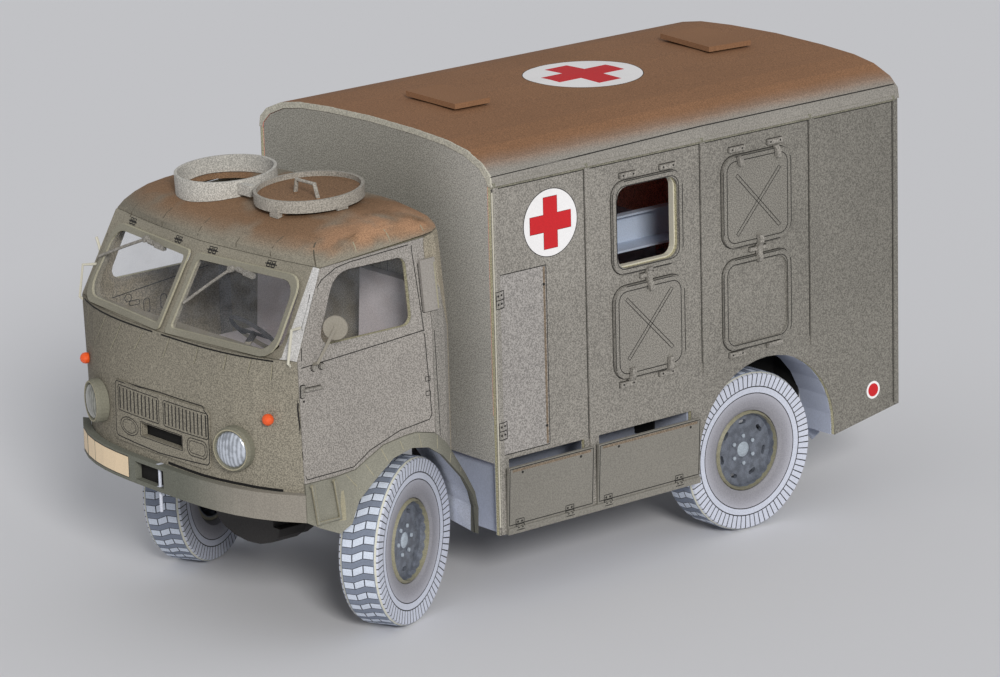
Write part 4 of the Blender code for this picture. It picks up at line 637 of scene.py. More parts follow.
# Marks laid on the card
class Skin:
    """The outer surface of some CAD nodes, met straight on from one side."""

    SIDES = {
        "left": ((0, 1, 0), (0, 0, 1), (1, 0, 0)),
        "right": ((0, 1, 0), (0, 0, 1), (-1, 0, 0)),
        "front": ((1, 0, 0), (0, 0, 1), (0, -1, 0)),
        "top": ((1, 0, 0), (0, 1, 0), (0, 0, 1)),
    }
    START = 0.3  # metres from the middle at which a ray starts

    def __init__(self, side, *names):
        self.across, self.up, self.out = (Vector(axis) for axis in self.SIDES[side])
        points, faces = [], []
        for name in names:
            mesh = nodes[name].data
            first = len(points)
            points += [vert.co.copy() for vert in mesh.vertices]
            faces += [[first + index for index in face.vertices] for face in mesh.polygons]
        self.tree = BVHTree.FromPolygons(points, faces)

    def point(self, a, b, rise):
        start = (self.across * a + self.up * b) * MM + self.out * self.START
        hit = self.tree.ray_cast(start, -self.out)[0]
        return hit + self.out * (rise * MM) if hit else None


class Marks:
    """Marks of one finish that ride together, each a thin closed slab."""

    def __init__(self, name, finish, slot="card_olive", body="body"):
        self.name, self.finish, self.slot, self.body = name, finish, slot, body
        self.points, self.faces = [], []

    def add(self, points, faces):
        first = len(self.points)
        self.points += points
        self.faces += [[first + index for index in face] for face in faces]

    def slab(self, tops, bases):
        """A closed slab between an outline's top and base points."""
        count = len(tops)
        faces = []
        for triangle in tessellate_polygon([tops]):
            faces.append(list(triangle))
            faces.append([count + index for index in reversed(triangle)])
        for index in range(count):
            after = (index + 1) % count
            faces.append([index, count + index, count + after, after])
        self.add(list(tops) + list(bases), faces)

    def area(self, skin, outline, rise=PRINT_RISE):
        tops = [skin.point(a, b, rise) for a, b in outline]
        if None not in tops:
            self.slab(tops, [skin.point(a, b, -SUNK) for a, b in outline])

    def disc(self, skin, centre, radius, rise=PRINT_RISE, count=48):
        self.area(skin, circle(centre, radius, count), rise)

    def line(self, skin, path, width=INK_WIDTH, rise=INK_RISE, closed=False):
        """A strip along a path of (across, up) places."""
        path = refined(path, closed)
        count = len(path)
        rows = []
        for index, (a, b) in enumerate(path):
            before = path[index - 1] if index or closed else path[index]
            after = path[(index + 1) % count] if index < count - 1 or closed else path[index]
            da, db = after[0] - before[0], after[1] - before[1]
            length = hypot(da, db) or 1.0
            na, nb = -db / length * width / 2, da / length * width / 2
            row = [skin.point(a + na, b + nb, rise), skin.point(a - na, b - nb, rise)]
            row += [skin.point(a - na, b - nb, -SUNK), skin.point(a + na, b + nb, -SUNK)]
            rows.append(None if None in row else row)
        closed = closed and None not in rows
        self.strip(rows + rows[:1] if closed else rows, closed)

    def strip(self, rows, closed=False):
        """A bar through rows of four points. A row of None ends one bar."""
        run = []
        for row in rows + [None]:
            if row is not None:
                run.append(row)
                continue
            if len(run) > 1:
                faces = bands(len(run), 4)
                last = (len(run) - 1) * 4
                if closed:
                    faces = [[index - last if index >= last else index for index in face] for face in faces]
                    run = run[:-1]
                else:
                    faces += [[3, 2, 1, 0], [last, last + 1, last + 2, last + 3]]
                self.add([point for section in run for point in section], faces)
            run = []

    def plate(self, skin, a0, a1, b0, b1, rise):
        self.area(skin, rectangle(a0, a1, b0, b1), rise)

    def rod(self, points, radius, sides=8):
        """A round rod along a few points."""
        points = [Vector(point) * MM for point in points]
        rings = []
        for index, point in enumerate(points):
            ahead = points[min(index + 1, len(points) - 1)] - points[max(index - 1, 0)]
            ahead.normalize()
            across = last_across - ahead * last_across.dot(ahead) if rings else ahead.orthogonal()
            last_across = across = across.normalized()
            spread = spokes(across, ahead.cross(across), sides)
            rings.append([point + spoke * radius * MM for spoke in spread])
        faces = bands(len(rings), sides)
        last = (len(rings) - 1) * sides
        faces += [list(range(sides))[::-1], [last + side for side in range(sides)]]
        self.add([point for ring in rings for point in ring], faces)

    def dome(self, centre, outward, radius, height, rings=8, sides=40):
        """A closed dome whose rim lies round centre."""
        across = outward.orthogonal().normalized()
        points = []
        for ring in range(rings):
            angle = pi / 2 * ring / rings
            for spoke in spokes(across, outward.cross(across), sides):
                points.append((centre + spoke * radius * cos(angle) + outward * height * sin(angle)) * MM)
        top = len(points)
        points.append((centre + outward * height) * MM)
        last = (rings - 1) * sides
        faces = bands(rings, sides)
        faces += [[last + side, last + (side + 1) % sides, top] for side in range(sides)]
        faces.append(list(range(sides))[::-1])
        self.add(points, faces)

    def build(self):
        mesh = bpy.data.meshes.new(self.name)
        mesh.from_pydata(self.points, [], self.faces)
        mesh.validate()
        made = bpy.data.objects.new(self.name, mesh)
        scene.collection.objects.link(made)
        mesh.materials.append(self.finish)
        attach(made, self.body)


def spokes(first, second, count):
    """Unit directions all round, from the first towards the second."""
    turns = [2 * pi * index / count for index in range(count)]
    return [first * cos(turn) + second * sin(turn) for turn in turns]


def bands(rings, sides):
    """The faces between rings of points."""
    faces = []
    for near in range(0, (rings - 1) * sides, sides):
        for side in range(sides):
            after = (side + 1) % sides
            faces.append([near + side, near + after, near + sides + after, near + sides + side])
    return faces

def refined(path, closed):
    """The path with a point at least every STEP."""
    ends = list(path) + ([path[0]] if closed else [])
    result = []
    for start, end in zip(ends, ends[1:]):
        pieces = max(1, round(hypot(end[0] - start[0], end[1] - start[1]) / STEP))
        for index in range(pieces):
            share = index / pieces
            result.append((start[0] + (end[0] - start[0]) * share, start[1] + (end[1] - start[1]) * share))
    return result if closed else result + [tuple(path[-1])]


def circle(centre, radius, count=48, stretch=1.0):
    turns = [2 * pi * index / count for index in range(count)]
    return [(centre[0] + radius * stretch * cos(turn), centre[1] + radius * sin(turn)) for turn in turns]


def rectangle(a0, a1, b0, b1):
    return [(a0, b0), (a1, b0), (a1, b1), (a0, b1)]


def rounded(a0, a1, b0, b1, radius, steps=5):
    """A rectangle with rounded corners, as a closed path."""
    corners = rectangle(a1 - radius, a0 + radius, b1 - radius, b0 + radius)
    path = []
    for (a, b), start in zip(corners, (0, 90, 180, 270)):
        for i in range(steps + 1):
            angle = radians(start + 90 * i / steps)
            path.append((a + radius * cos(angle), b + radius * sin(angle)))
    return path


def cross(centre, reach, w):
    """A Greek cross as an outline, w its arms' half width."""
    corners = (
        (w, w), (w, reach), (-w, reach), (-w, w), (-reach, w), (-reach, -w),
        (-w, -w), (-w, -reach), (w, -reach), (w, -w), (reach, -w), (reach, w),
    )
    return [(centre[0] + a, centre[1] + b) for a, b in corners]


def upright(corners, y):
    """Points on an upright plane across the truck."""
    return [Vector((x, y, z)) * MM for x, z in corners]


ink = Marks("printed_lines", MATERIALS["ink"])
edges = Marks("pale_edges", MATERIALS["edge"], "card_pale")
green = Marks("green_strips", MATERIALS["green"], "card_green")
fittings = Marks("raised_fittings", MATERIALS["olive"])
rust = Marks("rust_washes", MATERIALS["rust"])
white = Marks("white_discs", MATERIALS["white"], "card_pale")
red = Marks("red_crosses", MATERIALS["red"], "orange_ball")
plate = Marks("blank_plate", MATERIALS["cream"], "card_pale")
# Dark card slabs and lines that stand for shadows in slots, arches and gaps: painted shade.
dark = Marks("painted_shade_backing", MATERIALS["dark"], "under_dark")
bunk = Marks("box_bunk", MATERIALS["bunk"], "card_grey")
soft = Marks("soft_seams", MATERIALS["soft"])
seams = Marks("worn_seams", MATERIALS["seam"], "card_pale")
lining = Marks("window_lining", MATERIALS["pale"], "card_pale")


def printed_hinge(skin, a, b, width, height, stroke=INK_WIDTH):
    """A printed strap hinge: an outline, a knuckle line and four screw heads."""
    outline = rectangle(a - width / 2, a + width / 2, b - height / 2, b + height / 2)
    ink.line(skin, outline, stroke, closed=True)
    ink.line(skin, [(a - width / 2, b), (a + width / 2, b)], stroke)
    for side in (-1, 1):
        for level in (-1, 1):
            ink.disc(skin, (a + side * width / 4, b + level * height / 4), 0.22, INK_RISE * 1.2, 10)


# Box sides. Columns of the tables: places along the truck and heights
SIDE_HINGES = (
    (7.5, 75.65), (17.2, 75.6), (6.7, 36.05), (16.3, 36.3),
    (34.3, 75.9), (43.9, 75.85), (33.8, 36.35), (43.3, 36.6),
)
SIDE_STRAPS = (
    ((7.47, 39.07), (7.2, 36.64)), ((16.71, 39.39), (16.52, 36.59)),
    ((34.4, 74.52), (34.81, 72.8)), ((43.96, 75.04), (44.14, 72.85)),
)
# Columns: upper and lower end of the latch, middle and length of its bar
SIDE_LATCHES = (((12.0, 57.5), (12.1, 53.2), 11.8, 3.4), ((39.35, 58.7), (39.5, 53.5), 39.4, 4.4))
LATCH_BAR_Z = (55.6, 56.3)
SIDE_BRACES = (
    ((6.33, 52.31), (17.47, 41.06)), ((17.5, 52.43), (6.67, 40.72)),
    ((33.91, 70.91), (44.61, 59.61)), ((44.77, 70.92), (33.93, 59.38)),
)
BRACE_HALF_WIDTH = 0.33
HINGE_RISE, STRAP_RISE, LATCH_RISE, STRAP_WIDTH = 0.5, 0.8, 0.9, 1.0
REFLECTOR, REFLECTOR_RADII = (69.1, 22.1), (1.75, 1.3)
LOCKER_FLAP_Z = (15.1, 25.9)
LOCKER_FLAPS = ((-22.9, -3.0), (-1.35, 23.2))
FLAP_HINGES = (-20.4, -8.5, 0.8, 18.3)
FLAP_SCREWS = ((-19.9, 24.9), (-6.0, 24.9), (3.2, 24.9), (20.9, 24.9))
FLAP_HINGE_Z = 15.0
TALL_DOOR = (-23.1, -12.2, 28.4, 62.2)
TALL_DOOR_HINGE_Z, TALL_DOOR_SCREW_Z = (57.7, 33.1), (58.7, 32.0)
EAVE_LINE_Z = (80.6, 81.4)


def dress_box_side(side):
    skin = Skin(side, "box_side_" + side, "locker_flaps_" + side, "box_roof")
    for y in RIB_Y:
        reach = RIB_WIDTH / 2 + RIB_LINE_GAP
        for edge in (y - reach, y + reach):
            if BOX_FRONT_Y < edge < BOX_REAR_Y:
                foot = next(z for limit, z in RIB_FEET if edge < limit)
                ink.line(skin, [(edge, foot), (edge, EAVE_Z - 0.4)])
    front, rear = BOX_FRONT_Y + 0.1, BOX_REAR_Y - 0.1
    green.line(skin, [(front, EAVE_Z + 0.1), (rear, EAVE_Z + 0.1)], 1.1, PRINT_RISE)
    ink.line(skin, [(front, EAVE_Z - 0.5), (rear, EAVE_Z - 0.5)])
    end_z, middle_z = EAVE_LINE_Z
    ink.line(skin, [(front, end_z), ((front + rear) / 2, middle_z), (rear, middle_z)])
    edges.line(skin, [(BOX_FRONT_Y + 0.25, 15), (BOX_FRONT_Y + 0.25, EAVE_Z - 1)], 0.4)
    dress_windows(skin)
    dress_lockers(skin)
    y, z, radius = SIDE_CROSS
    white.disc(skin, (y, z), radius)
    ink.line(skin, circle((y, z), radius + 0.02), FINE, closed=True)
    arms = cross((y, z), radius * 0.77, radius * 0.26)
    red.area(skin, arms, PRINT_RISE * 2)
    ink.line(skin, arms, FAINT, PRINT_RISE * 2, True)
    for marks, radius, rise in zip((white, red), REFLECTOR_RADII, (PRINT_RISE, PRINT_RISE * 2)):
        marks.disc(skin, REFLECTOR, radius, rise)


def dress_windows(skin):
    half_w, half_h = WINDOW_WIDTH / 2, WINDOW_HEIGHT / 2
    for y in WINDOW_Y:
        for z in WINDOW_Z:
            for inset in WINDOW_LINES:
                w, h = half_w - inset, half_h - inset
                ink.line(skin, rounded(y - w, y + w, z - h, z + h, WINDOW_CORNER - inset), closed=True)
    for y, z in SIDE_HINGES:
        fittings.plate(skin, y - 1.9, y + 1.9, z - 0.45, z + 0.45, HINGE_RISE)
        ink.line(skin, rounded(y - 1.97, y + 1.97, z - 0.52, z + 0.52, 0.1), FINE, closed=True)
        for dot in (-1.2, 1.2):
            ink.disc(skin, (y + dot, z), 0.2, HINGE_RISE + DOT_RISE, 10)
    for start, end in SIDE_STRAPS:
        raised_strap(skin, start, end, STRAP_RISE, 0.55)
    z0, z1 = LATCH_BAR_Z
    for start, end, y, length in SIDE_LATCHES:
        raised_strap(skin, start, end, LATCH_RISE, 0.56)
        y0, y1 = y - length / 2, y + length / 2
        fittings.plate(skin, y0, y1, z0, z1, HINGE_RISE)
        ink.line(skin, rounded(y0, y1, z0 - 0.1, z1 + 0.1, 0.1), THIN, closed=True)
    for start, end in SIDE_BRACES:
        length = hypot(end[0] - start[0], end[1] - start[1])
        across = Vector((start[1] - end[1], end[0] - start[0])) / length * BRACE_HALF_WIDTH
        corners = ((start, 1), (end, 1), (end, -1), (start, -1))
        ink.line(skin, [tuple(Vector(place) + across * way) for place, way in corners], FINE, closed=True)


def raised_strap(skin, start, end, rise, line_gap):
    """A strap that stands over the card, with an ink line along either side."""
    fittings.line(skin, [start, end], STRAP_WIDTH, rise)
    for side in (-line_gap, line_gap):
        ink.line(skin, [(start[0] + side, start[1]), (end[0] + side, end[1])], HAIR)


def dress_lockers(skin):
    """The tall door and the two locker flaps."""
    y0, y1, z0, z1 = TALL_DOOR
    ink.line(skin, rectangle(y0, y1, z0, z1), closed=True)
    rust.line(skin, [(y1 - 0.5, z0 + 0.2), (y1 - 0.5, z1 - 0.2)], 0.5, PRINT_RISE)
    for z in TALL_DOOR_HINGE_Z:
        printed_hinge(skin, y0 - 0.1, z, 2.0, 3.2)
    for z in TALL_DOOR_SCREW_Z:
        ink.disc(skin, (y1 - 0.6, z), 0.28, DOT_RISE, 12)
    z0, z1 = LOCKER_FLAP_Z
    for y0, y1 in LOCKER_FLAPS:
        ink.line(skin, rectangle(y0, y1, z0, z1), closed=True)
        rust.line(skin, [(y0 + 0.6, z1 - 0.4), (y1 - 0.6, z1 - 0.4)], 0.5, PRINT_RISE / 2)
    for y in FLAP_HINGES:
        printed_hinge(skin, y, FLAP_HINGE_Z, 1.9, 2.0)
    for place in FLAP_SCREWS:
        ink.disc(skin, place, 0.26, DOT_RISE, 12)


def dress_box_roof():
    """The roof is straight along the truck, so each print on it is a row of strips across."""
    skin = Skin("top", "box_roof")
    x, y, radius = ROOF_CROSS
    half, reach = radius * 0.24, radius * 0.70

    def strips(marks, x0, x1, half_length, rise):
        rows = []
        count = max(2, round((x1 - x0) / STEP))
        for index in range(count + 1):
            place = x0 + (x1 - x0) * index / count
            length = half_length(place - x)
            row = [skin.point(place, y + way * length, rise) for way in (-1, 1)]
            rows.append(row + [skin.point(place, y + way * length, -SUNK) for way in (1, -1)])
        marks.strip(rows)

    rim = radius - 0.02
    strips(white, x - rim, x + rim, lambda a: (radius ** 2 - a ** 2) ** 0.5, PRINT_RISE)
    for x0, x1, length in ((-reach, -half, half), (-half, half, reach), (half, reach, half)):
        strips(red, x + x0, x + x1, lambda _, length=length: length, PRINT_RISE * 2)
    ink.line(skin, circle((x, y), radius, 64), FINE, closed=True)


def build_all():
    for side in ("left", "right"):
        dress_box_side(side)
    dress_box_roof()
    dress_cab()
    for marks in (ink, edges, green, fittings, rust, white, red, plate, dark, bunk, soft, seams, lining):
        marks.build()


# Cab. Columns: place across and height of a seam's top, then of its foot
NOSE_SEAMS = (
    (-31.4, 53.2, -31.6, 48.0), (-27.0, 53.6, -29.4, 48.2), (-18.4, 54.2, -22.7, 48.8),
    (-12.4, 54.4, -16.5, 48.2), (-5.5, 53.9, -8.2, 49.9), (2.6, 54.2, 0.8, 50.3),
    (11.1, 54.4, 10.0, 50.9), (18.5, 54.3, 17.7, 51.0), (24.0, 54.1, 23.3, 51.4),
    (28.4, 53.9, 28.0, 50.8),
)
ROOF_SEAMS = (
    ((-13.3, 73.1), (-13.0, 70.2)), ((-1.7, 73.3), (-1.3, 71.3), (-1.2, 69.9)), ((9.9, 72.8), (9.9, 70.4)),
    ((18.7, 73.3), (18.9, 70.2)), ((25.7, 73.1), (29.9, 70.1)), ((-24.0, 72.8), (-25.0, 69.4)),
)
SIDE_ROOF_SEAMS = (
    ((-52.9, 74.0), (-52.6, 70.6)), ((-45.3, 74.0), (-44.8, 71.2)), ((-37.4, 74.2), (-37.2, 71.6)),
)
SCREEN_HINGES, SCREEN_HINGE_Z = (-23.5, -6.6, 4.1, 19.4), 68.5
DOOR_PATH = (
    (-67.6, 53.3), (-67.9, 46.1), (-67.2, 34.2), (-66.6, 32.8), (-56.2, 33.0), (-52.4, 35.3),
    (-45.7, 37.5), (-38.8, 38.2), (-38.2, 39.1), (-39.4, 54.9), (-40.3, 70.4),
)
DOOR_FRAME_PATH = (
    (-41.0, 70.6), (-54.0, 69.9), (-57.3, 69.4), (-60.6, 67.9), (-62.9, 65.6),
    (-63.9, 63.4), (-65.4, 60.3), (-66.4, 57.6), (-66.9, 54.6),
)
BELT_PATH = ((-67.8, 53.3), (-54.9, 54.0), (-39.5, 54.9))
COLUMN_PATH = ((-37.1, 54.5), (-36.4, 34.7))
HANDLE_PLATE, HANDLE_BAR = (-67.3, -66.5, 48.0, 50.1), ((-66.9, 49.3), (-62.9, 49.2))
# Columns: ends of a line along the handle, and its width
HANDLE_LINES = (((-66.3, 48.95), (-62.9, 48.85), BOLD), ((-66.3, 49.6), (-62.9, 49.5), HAIR))
KEYHOLE = (-66.7, 47.2)
DOOR_HINGE_Y, DOOR_HINGE_Z = (-39.4, -38.4), (45.8, 43.1)
MIRROR_FEET = ((-64.3, 52.9), (-62.6, 52.9))
GRILLE_OUTLINE = (
    (-13.9, 42.6), (-13.4, 43.2), (0.0, 43.7), (12.8, 43.7), (14.5, 42.4),
    (14.6, 33.7), (14.0, 33.1), (0.0, 32.4), (-13.6, 32.9), (-14.1, 33.6),
)
GRILLE_OVAL, GRILLE_OVAL_STRETCH = (-9.5, 35.4), 1.75
GRILLE_BANKS = ((-12.9, 0.1, 11), (1.5, 14.4, 12))
GRILLE_TOP, GRILLE_BASE = 42.4, 38.1
FRAME_GAPS = ((-30.2, -2.6), (0.2, 28.6))
FRAME_GAP_Z = 54.35
NOSE_FOOT = ((2.0, 30.95), (12.0, 30.8), (21.0, 30.9), (29.5, 30.7))
GRILLE_SLOT = (-5.7, 6.9, 34.5, 37.0)
# Dark panels behind both slots, painted shade where the shadow behind them falls. Columns: ends across,
# heights, front and rear
DARK_PANELS = ((-6.9, 8.1, 33.3, 37.8, -73.4, -73.1), (-6.9, 2.7, 26.0, 29.7, -74.6, -74.3))
PLATE, PLATE_RISE, PLATE_STEPS = (-29.6, -8.6, 26.2, 30.0), 0.04, 14
LAMP_FACE, LAMP_YAW_DEG = (21.5, -74.90, 37.6), 17
LAMP_RADIUS, LENS_RADIUS = 4.1, 3.3
FENDER_CREASES_DEG = (52, 64, 76, 88, 100, 112, 124, 136, 148)
FENDER_CREASE_RADII = (17.2, 21.0)
# Wipers. Columns: root, elbow and tip of an arm. Then the places of the motors
WIPER_ARMS = (((-15.6, 67.6), (-21.7, 65.2), (-28.4, 62.3)), ((11.3, 67.1), (7.2, 63.7), (3.4, 60.3)))
WIPER_MOTORS = ((-12.4, 67.2), (14.4, 67.0))
# Printed inside the cab: a line, a winder and ovals on the right door, and upright lines at the rear
INNER_DOOR_PATH = ((-62.0, 52.8), (-54.0, 53.6), (-40.0, 55.0))
DOOR_WINDER = (-58.45, 52.1)
DOOR_OVALS = ((-54.3, 49.9), (-50.4, 50.0))
REAR_WALL_LINES, REAR_WALL_LINE_Z = (5.7, 7.2, 11.2, 13.4), (48.0, 67.0)
# A folded card bunk in the box: its section, as places across and heights
BUNK = (
    (14.6, 62.1), (16.4, 62.1), (16.4, 61.7), (15.0, 61.7),
    (15.0, 56.5), (19.8, 56.5), (19.8, 56.1), (14.6, 56.1),
)
BUNK_Y = (-23.5, 74.8)
LINING_X, LINING_WIDTH = (33.6, 32.3), 0.3
WHEEL_HOUSE, WHEEL_HOUSE_WALL = (18.3, 25.4, 20.6, 57.9, 20.5, 36.5), 0.4


def dress_cab():
    nose = Skin("front", "cab_front", "grille_panel")
    for x0, z0, x1, z1 in NOSE_SEAMS:
        path = [(x0, z0), (x0 * 0.55 + x1 * 0.45, (z0 + z1) / 2), (x1, z1)]
        seams.line(nose, path, 0.15)
        ink.line(nose, [(x + 0.14, z) for x, z in path], FAINT, PRINT_RISE)
    dress_grille(nose)
    dress_plate()
    for x0, x1, z0, z1, front, rear in DARK_PANELS:
        corners = rectangle(x0, x1, z0, z1)
        dark.slab(upright(corners, front), upright(corners, rear))
    # The two lenses differ in tone as lit and shaded copies of one lens: painted light.
    for side, way, roughness in (("left", 1, 0.2), ("right", -1, 0.35)):
        dress_lamp(side, way, roughness)
    face = Skin("front", "windscreen_surround", "cab_roof", "cab_front")
    for x in SCREEN_HINGES:
        for way in (-0.57, 0.57):
            printed_hinge(face, x + way, SCREEN_HINGE_Z, 0.8, 2.0, HEAVY)
        for z in (SCREEN_HINGE_Z + 0.45, SCREEN_HINGE_Z - 0.45):
            ink.line(face, [(x - 1.5, z), (x + 1.5, z)])
    for path in ROOF_SEAMS:
        soft.line(face, path, FINE, 0.05)
    # Dark lines under the windscreen frames and along the nose's foot: painted shadows of the gaps.
    for x0, x1 in FRAME_GAPS:
        dark.line(nose, [(x0, FRAME_GAP_Z), (x1, FRAME_GAP_Z)], 0.24, 0.1)
    dark.line(nose, NOSE_FOOT, 0.5, 0.04)
    for side in ("left", "right"):
        dress_cab_side(side)
        crease_fender(side)
    outline_duct()
    dress_cab_inside()
    dress_wipers()
    bunk.slab(*[upright(BUNK, y) for y in BUNK_Y])
    line_window()
    house_wheels()


def dress_grille(skin):
    ink.line(skin, GRILLE_OUTLINE, BOLD, closed=True)
    for x0, x1, count in GRILLE_BANKS:
        ink.line(skin, rounded(x0, x1, GRILLE_BASE - 0.25, GRILLE_TOP + 0.25, 0.5), THIN, closed=True)
        pitch = (x1 - x0) / count
        for i in range(count):
            x = x0 + pitch * (i + 0.5)
            ink.line(skin, [(x, GRILLE_BASE + 0.15), (x, GRILLE_TOP - 0.15)], pitch * 0.28)
    for radius, width in ((1.65, THIN), (1.25, HAIR)):
        ink.line(skin, circle(GRILLE_OVAL, radius, 28, GRILLE_OVAL_STRETCH), width, closed=True)
    ink.line(skin, rounded(8.5, 14.0, 34.0, 37.3, 1.2), THIN, closed=True)
    ink.line(skin, rounded(9.0, 13.5, 34.5, 36.8, 0.9), HAIR, closed=True)
    x0, x1, z0, z1 = GRILLE_SLOT
    ink.line(skin, rounded(x0 - 0.15, x1 + 0.15, z0 - 0.15, z1 + 0.15, 0.2), FINE, closed=True)


def dress_plate():
    """A blank cream plate on the bumper's right end, outlined in ink."""
    skin = Skin("front", "bumper")
    x0, x1, z0, z1 = PLATE
    rows = []
    for index in range(PLATE_STEPS + 1):
        x = x0 + (x1 - x0) * index / PLATE_STEPS
        places = ((z0, PLATE_RISE), (z1, PLATE_RISE), (z1, -SUNK), (z0, -SUNK))
        row = [skin.point(x, z, rise) for z, rise in places]
        rows.append(None if None in row else row)
    plate.strip(rows)
    for z in (z0 - 0.08, z1 + 0.08):
        ink.line(skin, [(x0, z), (x1, z)], FINE)
    ink.line(skin, [(x1 + 0.08, z0), (x1 + 0.08, z1)], FINE)


def line_window():
    """A deeper pale lining round the left side's open window."""
    y, z = WINDOW_Y[0], WINDOW_Z[0]
    inset = WINDOW_FRAME - 0.05
    loops = []
    for reach in (0, LINING_WIDTH):
        w, h = WINDOW_WIDTH / 2 - inset - reach, WINDOW_HEIGHT / 2 - inset - reach
        loops.append(rounded(y - w, y + w, z - h, z + h, WINDOW_CORNER - inset))
    front, rear = LINING_X
    rows = []
    for outer, inner in zip(*loops):
        corners = ((front, outer), (front, inner), (rear, inner), (rear, outer))
        rows.append([Vector((x, *place)) * MM for x, place in corners])
    lining.strip(rows + rows[:1], True)


def house_wheels():
    """Dark walls inside the rear wheel arches, bent outward at both ends: painted shade where the arches
    lie in shadow.
    """
    x0, x1, y0, y1, z0, z1 = WHEEL_HOUSE
    wall = WHEEL_HOUSE_WALL
    outline = (
        (x1, y0), (x1, y0 + wall), (x0 + wall, y0 + wall), (x0 + wall, y1 - wall),
        (x1, y1 - wall), (x1, y1), (x0, y1), (x0, y0),
    )
    for way in (-1, 1):
        dark.slab(*[[Vector((way * x, y, z)) * MM for x, y in outline] for z in (z0, z1)])


def dress_cab_inside():
    """What is printed on the inside of the right door and of the cab's rear wall."""
    skin = Skin("left", "cab_side_right")
    ink.line(skin, INNER_DOOR_PATH, THIN)
    y, z = DOOR_WINDER
    ink.line(skin, circle((y, z), 0.75, 16), FINE, closed=True)
    ink.line(skin, rounded(y + 0.2, y + 2.6, z - 1.6, z - 0.7, 0.4), FINE, closed=True)
    rear = Skin("front", "cab_rear_wall")
    for x in REAR_WALL_LINES:
        ink.line(rear, [(x, z) for z in REAR_WALL_LINE_Z], FINE)
    for y, z in DOOR_OVALS:
        ink.line(skin, rounded(y - 0.7, y + 0.7, z - 1.4, z + 1.4, 0.65), FINE, closed=True)


def dress_lamp(side, way, roughness):
    """A domed lens in a lamp and a worn pale ring round it."""
    yaw = radians(LAMP_YAW_DEG)
    outward = Vector((way * sin(yaw), -cos(yaw), 0))
    x, y, z = LAMP_FACE
    face = Vector((way * x, y, z))
    lens = Marks(f"lens_{side}", lens_glass(f"lens_glass_{side}", f"lens_{side}", roughness), "lens")
    lens.dome(face - outward * 0.45, outward, LENS_RADIUS, 0.95)
    lens.build()
    lift = outward * 0.05
    rings = []
    for spoke in spokes(Vector((outward.y, -outward.x, 0)), Vector((0, 0, 1)), 40):
        inner, outer = face + spoke * (LAMP_RADIUS - 0.55), face + spoke * (LAMP_RADIUS - 0.33)
        rings.append([point * MM for point in (inner, outer, outer + lift, inner + lift)])
    seams.strip(rings + rings[:1])


def dress_cab_side(side):
    skin = Skin(side, "cab_side_" + side, "windscreen_surround", "cab_rear_wall", "cab_front")
    for path in (DOOR_PATH, DOOR_FRAME_PATH, BELT_PATH):
        ink.line(skin, path)
    ink.line(skin, COLUMN_PATH, FINE)
    roof = Skin(side, "cab_roof", "windscreen_surround")
    for path in SIDE_ROOF_SEAMS:
        seams.line(roof, path, HEAVY, 0.06)
    y0, y1, z0, z1 = HANDLE_PLATE
    fittings.plate(skin, y0, y1, z0, z1, 0.25)
    ink.line(skin, rounded(y0 - 0.1, y1 + 0.1, z0 - 0.1, z1 + 0.1, 0.2), HEAVY, closed=True)
    fittings.line(skin, HANDLE_BAR, 0.45, 0.7)
    for start, end, width in HANDLE_LINES:
        ink.line(skin, [start, end], width)
    ink.disc(skin, KEYHOLE, 0.22, DOT_RISE, 12)
    y0, y1 = DOOR_HINGE_Y
    for z in DOOR_HINGE_Z:
        ink.line(skin, rounded(y0, y1, z - 0.4, z + 0.4, 0.1), FINE, closed=True)
    for place in MIRROR_FEET:
        fittings.disc(skin, place, 0.5, 0.5, 14)
        ink.line(skin, circle(place, 0.62, 16), THIN, closed=True)


def outline_duct():
    """Ink along the edges of the duct on the left side, and a worn pale one."""
    start, end = (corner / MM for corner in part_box("duct_box"))
    skin = Skin("left", "duct_box", "cab_side_left", "cab_rear_wall")
    for y in (start.y - 0.12, end.y + 0.12):
        ink.line(skin, [(y, start.z), (y, end.z - 0.6)], THIN)
    ink.line(skin, [(start.y, start.z - 0.15), (end.y, start.z - 0.15)], BOLD)
    seams.line(skin, [(end.y - 0.25, start.z + 0.1), (end.y - 0.25, end.z - 0.8)], 0.35)


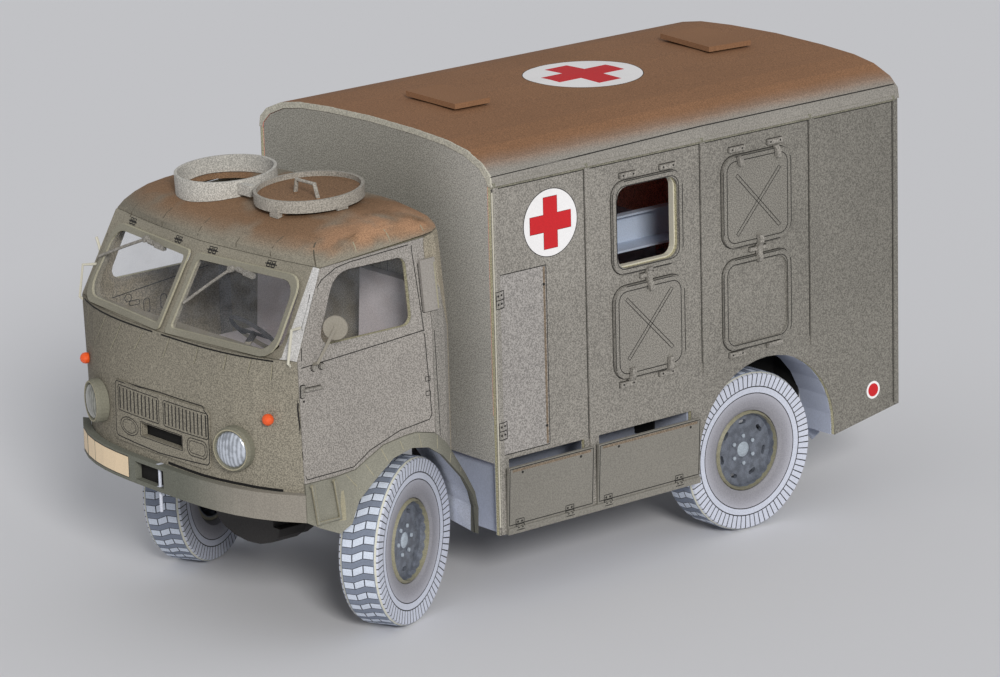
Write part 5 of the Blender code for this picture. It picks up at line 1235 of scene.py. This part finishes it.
def crease_fender(side):
    """The fender's ribbon is creased where it was bent round the arch."""
    skin = Skin(side, "fender_" + side)
    for degrees in FENDER_CREASES_DEG:
        turn = radians(degrees)
        across, up = cos(turn), sin(turn)
        path = [(AXLE_Y - reach * across, TYRE_RADIUS + reach * up) for reach in FENDER_CREASE_RADII]
        seams.line(skin, path, 0.13)


def dress_wipers():
    """A wiper in front of each pane: arm, hub and motor."""
    names = [f"windscreen_{part}_{side}" for part in ("frame", "pane") for side in ("left", "right")]
    skin = Skin("front", *names)
    for arm in WIPER_ARMS:
        points = [skin.point(*place, 0.6) / MM for place in arm]
        fittings.rod(points, 0.28)
        fittings.rod([points[0] + Vector((0, -0.4, 0)), points[0] + Vector((0, 0.6, 0))], 0.6, 12)
    for motor in WIPER_MOTORS:
        point = skin.point(*motor, 0.3) / MM
        fittings.rod([point + Vector((-1.9, 0, 0.25)), point + Vector((-0.4, 0, 0.1))], 0.5)
        fittings.rod([point + Vector((0.2, 0, 0)), point + Vector((2.6, 0.3, -0.35))], 0.62, 4)


def light():
    """A soft key, a pale world and a plain pale floor."""
    world = bpy.data.worlds.new("world")
    scene.world = world
    world.use_nodes = True
    background = world.node_tree.nodes["Background"].inputs
    background["Color"].default_value = (0.95, 0.97, 1.0, 1)
    background["Strength"].default_value = 0.45
    data = bpy.data.lights.new("key", "SUN")
    data.energy = 2.04
    data.angle = radians(14)
    data.color = (1.0, 0.985, 0.96)
    key = bpy.data.objects.new("key", data)
    key.rotation_euler = Vector((0.80, -0.42, 0.42)).to_track_quat("Z", "Y").to_euler()
    scene.collection.objects.link(key)

    mesh = bpy.data.meshes.new("floor")
    mesh.from_pydata([(-3, -3, 0), (3, -3, 0), (3, 3, 0), (-3, 3, 0)], [], [(0, 1, 2, 3)])
    floor = bpy.data.objects.new("floor", mesh)
    shader = Shader("floor", 0.9)
    shader.set(Base_Color=linear("floor"))
    mesh.materials.append(shader.material)
    scene.collection.objects.link(floor)


place_camera()
light()
dress_nodes()
build_all()
